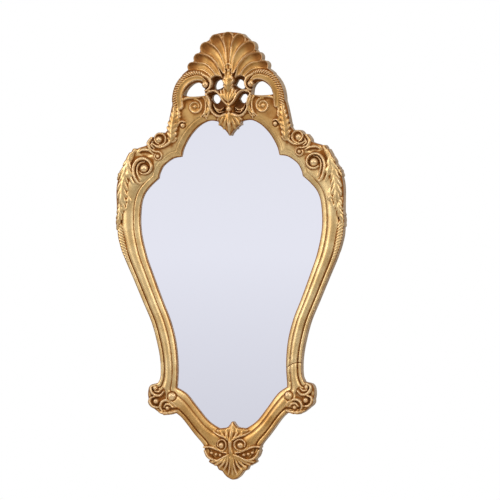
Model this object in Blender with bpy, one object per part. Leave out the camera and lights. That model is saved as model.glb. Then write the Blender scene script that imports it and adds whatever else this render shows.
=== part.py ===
"""Wall mirror in a carved, gilded frame, modelled in metres, with its hanger at the origin.

X runs to the right, Z up and Y towards the wall, whose plane is Y = 0. The carving is drawn in design units
on a frame 800 units high, as shares of that height. Its heights are measured in the same units from the wall.
"""
import math

import bpy
import bmesh
import numpy as np

# Driving sizes in metres
HEIGHT = 0.800
GLASS_THICKNESS = 0.003
BOARD_THICKNESS = 0.003
GAP = 0.0003
LIP_THICKNESS = 0.0026
GLASS_MARGIN = 0.006
BOARD_MARGIN = 0.0135
CORNER_STEP = 0.012

# The hanger plate and its screws
HANGER_WIDTH = 0.050
HANGER_RIM = 0.0035
HANGER_THICKNESS = 0.002
HANGER_SCREW_REACH = 0.38 * HANGER_WIDTH
KEYHOLE_RADIUS = 0.0045
KEYHOLE_SLOT_RADIUS = 0.0022
KEYHOLE_DROP = 0.006
NAIL_POCKET_RADIUS = 0.0075
NAIL_POCKET_DEPTH = 0.010
SCREW_RADIUS = 0.0014
SCREW_HEAD_RADIUS = 0.0028
SCREW_HEAD_HEIGHT = 0.0014
SCREW_LENGTH = 0.010
SCREW_CLEAR = 0.004
SCREW_SIDES = 10
BOARD_SCREWS_PER_SIDE = 3

# The carving, in design units
DESIGN_HEIGHT = 800.0
UNIT = HEIGHT / DESIGN_HEIGHT
GRID_ROWS = 356
ROUND_OFF = 1.2
MARGIN = 6.0
HALF_WIDTH = 222.0
HANGER_LEVEL = 745.0
LIP_LEVEL = 9.5
GROUND_LEVEL = 17.0
RELIEF = 0.82
LEFT_SHARE = 1.021
LEAN = 2.6
LEAN_TOP = 430.0
LEAN_SPAN = 220.0
EDGE_LEVEL = 13.0
FRAME_TRIANGLES = 5200
OUTSIDE = -1000.0
EVERYWHERE = (slice(None), slice(None))

# How far a cutter reaches past what it cuts, in metres
OVERCUT = 0.010

REBATE_DEPTH = BOARD_THICKNESS + GLASS_THICKNESS + 3 * GAP


def smooth_path(points, per_span=8):
    """Catmull-Rom curve through the points, as an array of points."""
    p = np.array(points, float)
    if len(p) == 2:
        t = np.linspace(0, 1, per_span + 1)[:, None]
        return p[0] * (1 - t) + p[1] * t
    ends = np.vstack([2 * p[0] - p[1], p, 2 * p[-1] - p[-2]])
    t = np.linspace(0, 1, per_span, endpoint=False)[:, None]
    spans = []
    for a, b, c, d in zip(ends, ends[1:], ends[2:], ends[3:]):
        bend = (2 * a - 5 * b + 4 * c - d) * t**2 + (3 * b - a - 3 * c + d) * t**3
        spans.append(0.5 * (2 * b + (c - a) * t + bend))
    return np.vstack([*spans, p[-1:]])


def along(values, s):
    """A value that varies along a path: a number, or several spaced evenly."""
    if np.isscalar(values):
        return values
    return np.interp(s, np.linspace(0, 1, len(values)), values)


def ease(t):
    """From 0 at t = 0 to 1 at t = 1, with a flat start and end."""
    t = np.clip(t, 0, 1)
    return t * t * (3 - 2 * t)


def bump(t):
    """1 at t = 0, and 0 with a flat foot from t = 1 outwards."""
    return ease(1 - np.abs(t))


class Relief:
    """Height of the carving above the wall, over half of the frame's plane, with level above 0 inside it."""

    def __init__(self, width, bottom, top, step):
        self.step = step
        self.xs = np.arange(0, int(math.ceil(width / step)) + 1) * step
        self.zs = bottom + np.arange(0, int(math.ceil((top - bottom) / step)) + 1) * step
        self.x, self.z = np.meshgrid(self.xs, self.zs)
        self.height = np.zeros_like(self.x)
        self.level = np.full_like(self.x, OUTSIDE)

    def window(self, path, reach):
        """The part of the grid within reach of a path, as (rows, columns)."""
        low, high = path.min(0) - reach, path.max(0) + reach
        spans = []
        for first, a, b in ((self.zs[0], low[1], high[1]), (self.xs[0], low[0], high[0])):
            start, stop = int((a - first) / self.step), int((b - first) / self.step) + 2
            spans.append(slice(max(0, start), max(0, stop)))
        return tuple(spans)

    def nearest(self, path, reach):
        """(window, distance, signed distance, share along the path) of the points near a path."""
        w = self.window(path, reach)
        x, z = self.x[w], self.z[w]
        best = np.full(x.shape, np.inf)
        side = np.zeros(x.shape)
        share = np.zeros(x.shape)
        steps = np.hypot(*np.diff(path, axis=0).T)
        run = np.concatenate([[0], np.cumsum(steps)]) / steps.sum()
        for k in range(len(path) - 1):
            ax, az = path[k]
            ux, uz = path[k + 1] - path[k]
            length2 = ux * ux + uz * uz
            if length2 < 1e-12:
                continue
            t = np.clip(((x - ax) * ux + (z - az) * uz) / length2, 0, 1)
            dx, dz = x - ax - t * ux, z - az - t * uz
            d2 = dx * dx + dz * dz
            near = d2 < best
            best = np.where(near, d2, best)
            side = np.where(near, np.sign(ux * (z - az) - uz * (x - ax)), side)
            share = np.where(near, run[k] + t * (run[k + 1] - run[k]), share)
        d = np.sqrt(best)
        return w, d, d * side, share

    def add(self, w, height, level):
        """Raises the carving to height wherever level is above 0."""
        self.height[w] = np.where(level > 0, np.maximum(self.height[w], height), self.height[w])
        self.level[w] = np.maximum(self.level[w], level)

    def stroke(self, points, width, top, rise, power=0.5, ripple=None):
        """A rounded band along a path. width is the half width and rise how far its sides fall below top."""
        w, d, sd, s = self.nearest(smooth_path(points), np.max(width) + self.step)
        half = along(width, s)
        t = np.clip(d / half, 0, 1)
        h = along(top, s) - along(rise, s) * (1 - (1 - t * t) ** power)
        if ripple is not None:
            h = h + ripple(s, sd / half)
        self.add(w, h, half - d)

    def dome(self, centre, radius, top, rise, ring=0.0):
        """A round boss. With a ring, a channel of that width runs round it."""
        w = self.window(np.array([centre], float), radius + ring + self.step)
        d = np.hypot(self.x[w] - centre[0], self.z[w] - centre[1])
        if ring:
            moat = bump((d - radius - 0.4 * ring) / (0.6 * ring)) * (d < radius + ring)
            self.height[w] -= 2.2 * moat
        t = np.clip(d / radius, 0, 1)
        self.add(w, top - rise * (1 - np.sqrt(1 - t * t)), radius - d)

    def band(self, points, width, top, rise, hollow=1.2, edge=0.3):
        """A scooped band along a path: two raised edges with a shallow hollow between them."""
        w, d, sd, s = self.nearest(smooth_path(points), np.max(width) + self.step)
        half = along(width, s)
        t = np.clip(d / np.maximum(half, 1e-6), 0, 1)
        crest = 1 - edge
        dip = along(hollow, s) * np.clip(1 - (t / crest) ** 2, 0, 1)
        fall = along(rise, s) * np.clip((t - crest) / edge, 0, 1) ** 2
        self.add(w, along(top, s) - dip - fall, half - d)

    def scroll(self, centre, outer, inner, start, turns, clockwise, top, floor, eye, eye_top, rim=1.6):
        """A rolled scroll: a ridge that winds in round a boss, with a face that falls inside each turn."""
        w = self.window(np.array([centre], float), outer + rim + self.step)
        dx, dz = self.x[w] - centre[0], self.z[w] - centre[1]
        r = np.hypot(dx, dz)
        wound = np.mod((-1 if clockwise else 1) * (np.arctan2(dz, dx) - math.radians(start)), 2 * math.pi)
        total = 2 * math.pi * turns
        pitch = (outer - inner) / total
        h = np.full(r.shape, OUTSIDE)
        level = np.full(r.shape, OUTSIDE)
        for k in range(int(math.ceil(turns)), -1, -1):
            here = wound + 2 * math.pi * k
            radius = outer - pitch * here
            after = here + 2 * math.pi
            inside = np.where(after < total, outer - pitch * after, eye * 0.8)
            t = np.clip((r - inside) / np.maximum(radius - inside, 1e-6), 0, 1)
            crest = along(top, here / total)
            face = floor + (crest - floor) * t ** 2.2
            lip = crest - (crest - floor) * np.clip((r - radius) / rim, 0, 1) ** 2
            this = np.where(r <= radius, face, lip)
            use = (here <= total) & (r <= radius + rim) & ((r > inside) | (h < 0))
            h = np.where(use & (this > h), this, h)
            level = np.where(use, np.maximum(level, radius + rim - r), level)
        self.height[w] = np.where(level > 0, h, self.height[w])
        self.level[w] = np.maximum(self.level[w], level)
        self.dome(centre, eye, eye_top, eye_top - floor)

    def acanthus(self, spine, width, top, rise, lobes, notch=0.3, lean=0.7, ruffle=1.6, sides=(1, 1),
                 rib=1.0):
        """A leaf along a path: a lobed edge, ribs that lean forward, and a raised midrib."""
        w, d, sd, s = self.nearest(smooth_path(spine), np.max(width) + self.step)
        half = along(width, s) * np.where(sd > 0, sides[0], sides[1])
        t = d / np.maximum(half, 1e-6)
        wave = np.abs(np.cos(math.pi * (lobes * s - lean * np.clip(t, 0, 1.2)))) ** 0.7
        edge = 1 - notch * (1 - wave)
        u = np.clip(t / edge, 0, 1)
        out = np.clip(t * 1.8, 0, 1)
        h = along(top, s) - along(rise, s) * (1 - np.sqrt(1 - u * u)) + ruffle * (wave - 0.6) * out
        h = h + rib * bump(d / 1.8) * (s < 0.97)
        self.add(w, h, (edge - t) * half)

    def palmette(self, spines, widths, floor, ridge, groove=0.8, reach_out=1.0):
        """Concave flutes side by side, as in a shell, with a fine groove where two meet."""
        reach = max(np.max(w) for w in widths) + self.step
        w = self.window(np.vstack([smooth_path(p) for p in spines]), reach)
        best = np.full(self.x[w].shape, np.inf)
        h = np.zeros_like(best)
        level = np.full_like(best, OUTSIDE)
        for points, width in zip(spines, widths):
            path = smooth_path(points)
            v, d, sd, s = self.nearest(path, reach + 40)
            spans = [(max(p.start, q.start), min(p.stop, q.stop, n)) for p, q, n in zip(v, w, self.x.shape)]
            a = tuple(slice(low - p.start, high - p.start) for (low, high), p in zip(spans, v))
            b = tuple(slice(low - q.start, high - q.start) for (low, high), q in zip(spans, w))
            s, d = s[a], d[a]
            half = along(width, s)
            t = d / half
            near = t < best[b]
            u = np.clip(t, 0, 1.3)
            bowl = along(ridge, s) * (0.35 * np.clip(u, 0, 1) ** 2 + 0.65 * np.clip(u / 0.9, 0, 1) ** 6)
            seam = groove * np.clip(1 - np.abs(u - 1) / 0.12, 0, 1)
            h[b] = np.where(near, along(floor, s) + bowl - seam, h[b])
            best[b] = np.where(near, t, best[b])
            level[b] = np.maximum(level[b], half - d)
        use = ((level > 0) | (self.level[w] > 0)) & (best < reach_out)
        self.height[w] = np.where(use, h, self.height[w])
        self.level[w] = np.maximum(self.level[w], level)

    def loop_level(self, points, reach):
        """(window, signed distance above 0 inside) of a smooth closed loop."""
        p = list(points)
        loop = smooth_path([*p, p[0]])
        w = self.window(loop, reach)
        return w, self.inside(loop[:-1], w)

    def inside(self, loop, w=EVERYWHERE):
        """Signed distance to a closed loop of points, above 0 inside it. Edges on the axis don't count."""
        x, z = self.x[w], self.z[w]
        best = np.full(x.shape, np.inf)
        crossings = np.zeros(x.shape, int)
        for (ax, az), (bx, bz) in zip(loop, np.roll(loop, -1, axis=0)):
            ux, uz = bx - ax, bz - az
            length2 = ux * ux + uz * uz
            if length2 < 1e-12:
                continue
            if abs(ax) > 1e-9 or abs(bx) > 1e-9:
                t = np.clip(((x - ax) * ux + (z - az) * uz) / length2, 0, 1)
                best = np.minimum(best, (x - ax - t * ux) ** 2 + (z - az - t * uz) ** 2)
            if abs(uz) > 1e-12:
                crossings += ((az > z) != (bz > z)) & (x < ux * (z - az) / uz + ax)
        return np.sqrt(best) * np.where(crossings % 2 == 1, 1, -1)

    def patch(self, points, top, rise, edge):
        """A low mound with the outline of a smooth closed loop."""
        w, level = self.loop_level(points, self.step)
        t = np.clip(1 - level / edge, 0, 1)
        self.add(w, top - rise * t * t, level)

    def sink(self, points, floor, slope):
        """Lowers the ground inside a smooth closed loop to a floor, with sides that fall over slope."""
        w, level = self.loop_level(points, self.step)
        low = self.height[w] + (floor - self.height[w]) * ease(level / slope)
        self.height[w] = np.where(level > 0, np.minimum(low, self.height[w]), self.height[w])

    def pierce(self, points):
        """Cuts an opening right through, inside a smooth closed loop of points."""
        w, level = self.loop_level(points, 3 * self.step)
        self.level[w] = np.minimum(self.level[w], -level)

    def soften(self, radius):
        """Rounds every edge, as layers of gesso do, over a radius in design units."""
        mask = (self.level > 0).astype(float)
        total, weight = self.height * mask, mask
        for _ in range(max(1, round(2 * (radius / self.step) ** 2))):
            for axis in (0, 1):
                total = (total + 0.5 * np.roll(total, 1, axis) + 0.5 * np.roll(total, -1, axis)) / 2
                weight = (weight + 0.5 * np.roll(weight, 1, axis) + 0.5 * np.roll(weight, -1, axis)) / 2
        self.height = np.where(mask > 0, total / np.maximum(weight, 1e-6), self.height)


def sight_edge():
    """Half of the sight edge, from the axis at the top to the axis at the bottom."""
    arch = smooth_path([(0, 622), (14, 636), (37, 641.5), (57, 633), (74.5, 615), (86.5, 594), (91, 578)])
    hip = smooth_path([(91, 578), (107, 575), (124, 563), (131.5, 550), (134, 540)])
    side = smooth_path([(134, 540), (148.5, 527), (161.2, 511), (167.6, 488), (168.4, 448), (159.7, 405),
                        (147.6, 370), (128.6, 320), (114.5, 285), (104.6, 247), (100.8, 205), (102.5, 165)])
    foot = smooth_path([(102.5, 165), (84.5, 153), (64.6, 128), (45.8, 105.5), (27.5, 93), (11.5, 87),
                        (0, 86)])
    return np.vstack([arch, hip[1:], side[1:], foot[1:]])


def body_edge():
    """Half of the outline of the moulding and the crest's ground, without the ornaments that pass it."""
    crest = smooth_path([(0, 799), (18, 797), (33, 789), (46, 774), (59.5, 754), (72.5, 735), (87.5, 713),
                         (99.5, 690), (106.5, 668), (111.5, 645), (115, 626)])
    shoulder = smooth_path([(115, 626), (121, 620.5), (131, 619), (143, 611.5), (154, 600), (170, 594.5),
                            (184, 584.5), (195.5, 566), (205.5, 545), (210.8, 521), (210.3, 480),
                            (210.5, 452)])
    side = smooth_path([(210.5, 452), (205.5, 430), (197.9, 400), (180.6, 360), (163.3, 320), (146.2, 280),
                        (135.5, 240), (131, 212), (131, 186), (135.5, 174)])
    corner = smooth_path([(135.5, 174), (151, 168.5), (154.5, 151), (148.5, 133), (134, 121), (118, 118),
                          (102, 119)])
    foot = smooth_path([(102, 119), (91, 109), (70, 82), (53.5, 62), (48.5, 45), (38, 31), (23.5, 20),
                        (12, 6), (0, 0)])
    return np.vstack([crest, shoulder[1:], side[1:], corner[1:], foot[1:]])


def moulding(r):
    """The moulding: a rounded bevel by the glass, a groove, a broad torus, and a bead on the outside.

    The ground of the crest is flat beyond the groove.
    """
    a = -r.inside(sight_edge())
    b = r.inside(body_edge())
    level = np.minimum(a, b)
    k = np.clip((a + b) / 38, 0.72, 1.0)
    a, b = a / k, b / k
    high = ease((r.z - 520) / 60)
    rise = np.clip((a - 0.8) / 9, 0, 1)
    bevel = 9.8 + 6.4 * (0.5 * rise + 0.5 * np.sqrt(rise * (2 - rise)))
    groove = bump((a - 10.9) / 1.7)
    crease = bump((b - 8.9) / 1.3) * (1 - high)
    across = np.clip(2 * (a - 11) / np.maximum(a + b - 20, 1) - 1, -1, 1)
    torus = 15.2 + 6.2 * (0.6 * np.sqrt(1 - across**2) + 0.4 * (1 - across**2))
    edge = EDGE_LEVEL + (GROUND_LEVEL - EDGE_LEVEL) * np.sqrt(np.clip(b / 4, 0, 1))
    bead = EDGE_LEVEL - 1 + 6.0 * np.sqrt(np.clip(1 - ((b - 4.2) / 4.6) ** 2, 0, 1))
    middle = torus * (1 - high) + GROUND_LEVEL * high
    outer = bead * (1 - high) + edge * high
    h = np.where(a < 10.4, bevel, np.where(b < 8.9, np.minimum(outer, 21), middle))
    h = h - 1.3 * groove - 1.2 * crease
    r.add(EVERYWHERE, h, level)


def shell(r):
    """The shell at the top: a straight flute on the axis and five that curve outwards."""
    spines = [
        [(0, 718), (0, 748), (0, 770), (0, 790)],
        [(4, 735), (7.4, 755), (13.5, 773), (22, 785)],
        [(8, 728), (16, 749), (28, 764), (40, 771)],
        [(14, 716), (25, 736), (38.5, 749), (54, 753)],
        [(20, 710), (32.5, 728), (47, 738.5), (66, 738)],
        [(28, 710), (38, 723), (53, 731.5), (68, 730), (80, 722)],
    ]
    widths = [[2.2, 3.2, 5.4, 9.5], [1.5, 4.2, 8, 10.8], [3.5, 7, 9.8, 11.4], [3, 5.8, 8.2, 9.6],
              [3, 5, 7.2, 9], [2, 3.2, 4.5, 5, 5]]
    r.palmette(spines, widths, [23.5, 21.5, 18, 16.5], [3, 5, 8, 8.5], groove=2.2, reach_out=1.12)


def arches(r):
    """The scrolled arches over the large openings, with a band of gadroons outside a plain one."""
    r.band([(89.5, 668), (90, 686), (85, 701), (76, 711.5), (63, 717.5), (51, 717.5), (43, 712)],
           [6, 6.3, 6.3, 6, 5.5, 5, 3.5], [23, 24.5, 25.5, 26, 26.5, 26.5, 26], 4.5, hollow=0.7, edge=0.28)
    r.stroke([(99.5, 662), (98.5, 684), (93.5, 702), (84, 716), (71, 725.5), (55, 727), (42, 721),
              (35.5, 712)], [4.6, 5.4, 5.6, 5.4, 5.2, 4.6, 3.8, 2.5], [23, 25.5, 27, 27.5, 27.5, 27.5, 26.5,
                                                                       25], 5, power=0.6, ripple=lambda s,
             v: -3.2 * (0.5 - 0.5 * np.cos(2 * math.pi * (26 * s - 0.6 * v))) ** 1.5)
    r.stroke([(46, 723), (36.5, 718), (32, 710), (33.5, 701), (40, 696)], [2.6, 3.2, 3.2, 2.8, 1.8], 26.5, 5)
    r.dome((42.2, 706), 6.4, 29, 8, ring=2.0)
    r.stroke([(33, 693), (39, 695.5), (47, 694)], [2, 2.6, 1.6], 25, 4)


def crest_scrolls(r):
    """The scroll and the rolled leaves under each large opening."""
    r.stroke([(46, 688), (58, 684), (72, 683.5), (84, 680), (91, 670), (93, 656)],
             [2.4, 2.8, 2.8, 2.8, 2.6, 1.6], 22.5, 4)
    r.scroll((63, 667), 14.0, 6.5, 80, 1.35, False, [21.5, 21.5, 20.5], 17.4, 3.6, 20.5, rim=1.2)
    for shift in (0.0, 4.2):
        r.stroke([(51 - shift, 687), (44.5 - shift, 680), (42.5 - shift, 669), (45 - shift, 657),
                  (52 - shift, 649)], [1.2, 1.7, 1.7, 1.5, 0.8], 21.5, 3)
    r.stroke([(42.5, 690), (36.5, 680), (35, 668), (38, 655), (43, 647)], [2.2, 2.8, 3.0, 2.4, 1.2],
             [25, 24.5, 24, 22, 19], 6)
    r.stroke([(43, 662), (45, 654), (43, 645)], [1.6, 3.0, 0.8], [22, 22, 19], 4)


def hollows(r):
    """The sunk ground of the crest round its small openings."""
    r.sink([(6, 700), (12, 695), (28, 693), (36, 698), (35, 709), (31, 718), (22, 722), (11, 718),
            (6, 708)], 10, 3.5)
    r.sink([(5, 670), (12, 684), (22, 693), (35, 693), (40, 682), (38, 668), (31, 655), (19, 650),
            (7, 654)], 10, 3.5)


def finial(r):
    """The bud, the leaves and the crossed bands on the axis of the crest, down to the drop over the glass."""
    r.patch([(-7, 720), (-8.5, 732), (-6, 741), (0, 744.5), (6, 741), (8.5, 732), (7, 720), (0, 716)], 20.5,
            2, 3)
    r.stroke([(-6, 721), (-7, 733), (-4.5, 740), (0, 742.5), (4.5, 740), (7, 733), (6, 721)],
             [1.2, 1.4, 1.5, 1.6, 1.5, 1.4, 1.2], 25, 4)
    r.dome((0, 730.5), 3.0, 26, 6)
    r.acanthus([(0, 694), (0, 704), (0, 716), (0, 727)], [6.5, 10.5, 11.5, 4], [26, 29, 29, 24.5], 5.5, 3.4,
               notch=0.12, lean=0.9, ruffle=1.3, rib=1.2)
    r.patch([(-4, 673), (-11, 681), (-15.5, 692), (-11, 698), (0, 702), (11, 698), (15.5, 692), (11, 681),
             (4, 673)], 22.5, 4, 3)
    for points, width in ((((0, 676), (0, 689), (0, 701)), (2.8, 3.4, 1.4)),
                          (((2, 677), (6, 688), (8.5, 699)), (2.4, 3.2, 1.4)),
                          (((4, 678), (10.5, 686), (15, 696)), (2.2, 3.0, 1.2))):
        r.stroke(points, width, [27, 26.5, 25], 4)
    r.stroke([(40, 690), (33, 694.5), (24, 694), (16.5, 687.5), (10.5, 677.5), (2, 669)],
             [1.8, 2.2, 2.5, 2.6, 2.6, 2.4], [24.5, 25, 26, 26.5, 26.5, 26], 6)
    r.stroke([(41, 689), (40.5, 680), (36.5, 668), (30, 656), (20, 649.5), (8, 650)],
             [1.8, 2.2, 2.4, 2.5, 2.4, 2.0], [24.5, 24, 23.5, 23.5, 23.5, 24], 6)
    r.stroke([(30, 671), (26, 663.5), (18, 660), (11, 664)], [1.0, 1.8, 1.9, 1.2], 17.5, 5)
    r.stroke([(27, 662), (20, 656), (11, 657)], [1.0, 1.6, 1.2], 17.5, 4)
    r.dome((0, 661.5), 5.2, 27, 7)
    r.stroke([(0, 667), (0, 676)], [3.0, 2.2], 25, 5)
    r.patch([(-6, 656), (-16, 650), (-21, 642), (-18, 633), (-10, 626), (-4, 619), (0, 614), (4, 619),
             (10, 626), (18, 633), (21, 642), (16, 650), (6, 656)], 19.5, 5, 4)
    for points, width, top in ((((5, 653), (13, 650), (22, 643)), (2.6, 3.2, 1.8), (22.5, 22.5, 19)),
                               (((4, 652), (12, 644), (18.5, 634)), (2.6, 3.4, 1.8), (23.5, 23, 19)),
                               (((2, 651), (7, 638), (10.5, 627)), (2.8, 3.6, 1.8), (24, 23.5, 19)),
                               (((0, 654), (0, 636), (0, 616)), (3.0, 3.8, 1.4), (25, 25, 20))):
        r.stroke(points, width, top, 4)


def shoulder(r):
    """The scrolls, curls and leaves of the shoulder, from the foot of the crest down the frame's outside."""
    r.acanthus([(106, 612), (105, 630), (101.5, 650), (100, 668)], [9, 10, 8, 4], [23.5, 24.5, 24, 22], 5,
               6, lean=0.9)
    r.acanthus([(95, 640), (93, 652), (95, 666)], [3.5, 4.5, 2.5], [22, 22.5, 21], 4, 4)
    r.dome((86, 634), 4.4, 23, 5, ring=1.6)
    r.stroke([(82, 640), (89, 641), (96.5, 633), (102, 620), (108.5, 607), (120, 598.5), (133, 597.5),
              (143, 603)], [1.5, 2.2, 2.5, 2.7, 2.7, 2.6, 2.4, 1.6], 22.5, 4.5)
    r.scroll((128, 610.5), 11.6, 7.6, 280, 1.15, True, [22.5, 24.5, 24.5], 17, 6.0, 26.5, rim=1.8)
    r.stroke([(144, 612), (149.5, 603), (146, 593), (136, 589.5)], [2.6, 3.2, 3.2, 1.6], [22, 23, 23, 21], 6)
    r.stroke([(141, 606), (144, 600), (139, 594.5)], [1.4, 2.0, 1.4], 23, 5)
    r.sink([(140, 591), (152, 594), (166, 591), (168, 584), (154, 580), (143, 583)], 15, 4)
    r.stroke([(142, 586), (150, 591), (161, 591.5), (168, 588)], [1.4, 2.6, 2.4, 1.2], [21, 22, 22, 20], 6)
    r.scroll((132.8, 582), 8.0, 5.2, 60, 0.95, False, [21.5, 22.5, 22], 16.5, 3.8, 24, rim=1.6)
    r.scroll((159, 563.5), 17.0, 11, -75, 1.08, False, [21.5, 25, 26, 25], 16, 7.6, 28, rim=2.2)
    r.acanthus([(184, 582), (186, 566), (181, 548), (174, 531)], [4.5, 8, 9, 3], [24, 26, 26.5, 22], 6, 3.4,
               notch=0.22, lean=0.5, ruffle=1.8, sides=(1, 1))
    r.acanthus([(176, 591), (187, 572), (195, 550), (198, 520), (197, 488)], [3.5, 6.5, 8.5, 10.5, 5],
               [20.5, 22.5, 24.5, 25.5, 23], 5, 8, notch=0.28, lean=1.0, ruffle=1.8)
    r.acanthus([(198, 556), (203, 548), (208.5, 539)], [3.5, 4.5, 1.5], [19, 20.5, 17], 5, 3)
    r.acanthus([(188, 516), (187, 502), (192, 486)], [4, 6, 2], [22, 23.5, 21], 5, 3, lean=0.8)
    r.stroke([(187, 500), (190, 489), (197, 485), (203, 490), (202, 500)], [1.4, 2.2, 2.4, 2.2, 1.2], 23, 5)
    r.acanthus([(203, 500), (203.5, 480), (207.5, 462), (210, 450)], [5, 7, 6, 1.8], [21, 23.5, 22, 18],
               5.5, 5, lean=1.1)
    r.stroke([(204, 456), (203, 438), (196, 408), (188, 388)], [5.5, 6, 5, 3], [19.5, 20.5, 20.5, 19], 4.5,
             ripple=lambda s, v: -1.6 * (0.5 - 0.5 * np.cos(2 * math.pi * (13 * s + 0.8 * v))))


def corner(r):
    """The ball and the small scrolls where the side meets the foot."""
    r.sink([(118, 166), (130, 171), (146, 166), (150, 150), (144, 134), (130, 126), (116, 129), (112, 140),
            (116, 152)], 15, 3)
    r.stroke([(116, 170), (126, 172), (136, 176)], [2.4, 3.4, 3.0], 22, 5)
    r.stroke([(115, 136), (108, 131), (101, 126)], [3.0, 3.4, 2.0], 21.5, 5)
    r.scroll((141, 164.5), 9.5, 5.5, 200, 1.15, True, [22.5, 24.5, 24], 15, 4.0, 25.5)
    r.scroll((143, 142.5), 10, 5.5, 70, 1.15, True, [22.5, 24.5, 24], 15, 4.2, 26)
    r.scroll((124.5, 135), 10.5, 6, 30, 1.1, False, [22.5, 24.5, 24], 15, 4.4, 26)
    r.stroke([(117, 160), (125, 163), (131, 158), (133, 150)], [1.8, 2.6, 2.4, 1.6], 24.5, 7)
    r.stroke([(119, 150), (126, 151), (133, 149)], [2.0, 2.6, 1.8], 23, 6)
    r.acanthus([(103, 125), (114, 121.5), (126, 121.5), (134, 125)], [2.5, 4, 4, 1.5], [20, 22, 22.5, 20],
               5, 4)
    r.dome((108.7, 148.8), 7.4, 27, 9, ring=2.6)


def bracket(r):
    """The ornament at the foot: two scrolls, a low fan over them, beads, and a leaf that hangs from them."""
    r.patch([(-31, 89), (-20, 92), (-10, 93.5), (-5, 98), (0, 104), (5, 98), (10, 93.5), (20, 92), (31, 89),
             (24, 79), (9, 73), (0, 66), (-9, 73), (-24, 79)], 18.5, 6, 5)
    for points, width in ((((0, 68), (0, 84), (0, 101)), (2.4, 3.6, 1.4)),
                          (((2, 70), (6, 82), (7, 92)), (1.8, 2.4, 1.0)),
                          (((3, 70), (11, 81), (15, 90)), (1.8, 2.6, 1.2)),
                          (((5, 70), (17, 79), (25, 88)), (1.8, 2.4, 1.0))):
        r.stroke(points, width, [24, 22, 17.5], 4)
    for side in (-1, 1):
        r.sink([(side * 46, 53), (side * 36, 56), (side * 20, 50), (side * 6, 46), (side * 6, 35),
                (side * 20, 33), (side * 34, 36), (side * 44, 43)], 14.5, 3)
    r.stroke([(50, 58), (38, 56), (26, 51), (10, 44)], [2.2, 2.4, 2.4, 2.0], 23.5, 6)
    r.stroke([(49.5, 50), (44, 39), (31, 32.5), (14, 35)], [2.2, 2.6, 2.6, 1.6], 22, 6)
    for centre in ((38, 46.5), (30, 43), (22, 40.5)):
        r.dome(centre, 3.1, 22, 6)
    r.scroll((17.3, 62.5), 12.2, 7, 60, 1.1, True, [23.5, 25.5, 25.5], 17, 5.4, 27, rim=1.8)
    r.stroke([(0, 48), (0, 66)], [4, 3], 26, 5)
    r.patch([(-40, 36), (-43, 33), (-31, 24), (-23, 18), (-12, 7), (0, 0), (12, 7), (23, 18), (31, 24),
             (43, 33), (40, 36), (20, 38), (8, 46), (0, 52), (-8, 46), (-20, 38)], 18, 5, 4)
    for points, width in ((((0, 50), (0, 26), (0, 3)), (5, 6.5, 3)), (((5, 44), (10, 28), (13, 12)),
                                                                      (2.2, 3.0, 1.4)),
                          (((8, 42), (17, 29), (21.5, 19)), (2.0, 2.8, 1.4)),
                          (((12, 40), (25, 31), (29.5, 25)), (1.9, 2.5, 1.2)),
                          (((17, 38), (32, 35.5), (39, 32)), (1.8, 2.3, 1.2))):
        r.stroke(points, width, [25, 24, 19.5], 5)


def openings(r):
    """The places where the crest is pierced."""
    r.pierce([(42.5, 686.5), (60, 685), (80, 686), (82.5, 690.5), (76, 701), (65, 709), (53, 709), (45, 700)])
    r.pierce([(10, 704), (16, 699), (26, 697), (28, 704), (24, 712), (16, 714)])
    r.pierce([(17, 680), (21, 673), (28, 672.5), (33, 680), (31, 687), (23, 687.5)])


def build_relief(step):
    """The whole carving of one half, on a grid of that step."""
    r = Relief(HALF_WIDTH, -MARGIN, DESIGN_HEIGHT + MARGIN, step)
    moulding(r)
    shell(r)
    hollows(r)
    arches(r)
    crest_scrolls(r)
    finial(r)
    shoulder(r)
    corner(r)
    bracket(r)
    openings(r)
    r.soften(ROUND_OFF)
    return r


def offset_edge(margin):
    """The sight edge moved outwards by a margin in metres, as half a loop from the axis to the axis."""
    edge = sight_edge()
    tangent = np.gradient(edge, axis=0)
    tangent /= np.linalg.norm(tangent, axis=1)[:, None]
    outward = np.column_stack([-tangent[:, 1], tangent[:, 0]])
    m = margin / UNIT
    moved = edge + m * outward
    apart = np.linalg.norm(moved[:, None] - edge[None], axis=2).min(1)
    moved = moved[(apart > 0.97 * m) & (moved[:, 0] > 1)]
    step = np.linalg.norm(np.diff(moved, axis=0), axis=1)
    keep = [0]
    for k in range(1, len(moved)):
        if step[keep[-1]:k].sum() > CORNER_STEP / UNIT:
            keep.append(k)
    moved = moved[keep]
    top, bottom = moved[0][1], moved[-1][1]
    return np.vstack([[0, top], moved, [0, bottom]])


def world_x(x, z):
    """Where a design point lies across the wall: the left half is wider, and the lower part leans left."""
    return (np.where(x < 0, LEFT_SHARE, 1.0) * x - LEAN * ease((LEAN_TOP - z) / LEAN_SPAN)) * UNIT


def world_z(z):
    """The height of a design level over the hanger, in metres."""
    return (z - HANGER_LEVEL) * UNIT


def front(level):
    """The y of a carving level: the lip stands over the rebate, and the carving rises from the lip."""
    return -(REBATE_DEPTH + LIP_THICKNESS + (level - LIP_LEVEL) * RELIEF * UNIT)


def add_object(name, vertices, faces, material=None):
    """A new mesh object of that name."""
    mesh = bpy.data.meshes.new(name)
    mesh.from_pydata([tuple(v) for v in vertices], [], faces)
    mesh.update()
    obj = bpy.data.objects.new(name, mesh)
    bpy.context.scene.collection.objects.link(obj)
    if material:
        mesh.materials.append(material)
    return obj


def prism(name, outline, back, face, material=None):
    """A plate from y back to y face, with an outline of (x, z) points counter-clockwise from the front."""
    n = len(outline)
    vertices = [(x, face, z) for x, z in outline] + [(x, back, z) for x, z in outline]
    sides = [((k + 1) % n, k, k + n, (k + 1) % n + n) for k in range(n)]
    return add_object(name, vertices, [tuple(range(n)), tuple(range(2 * n - 1, n - 1, -1)), *sides], material)


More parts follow.
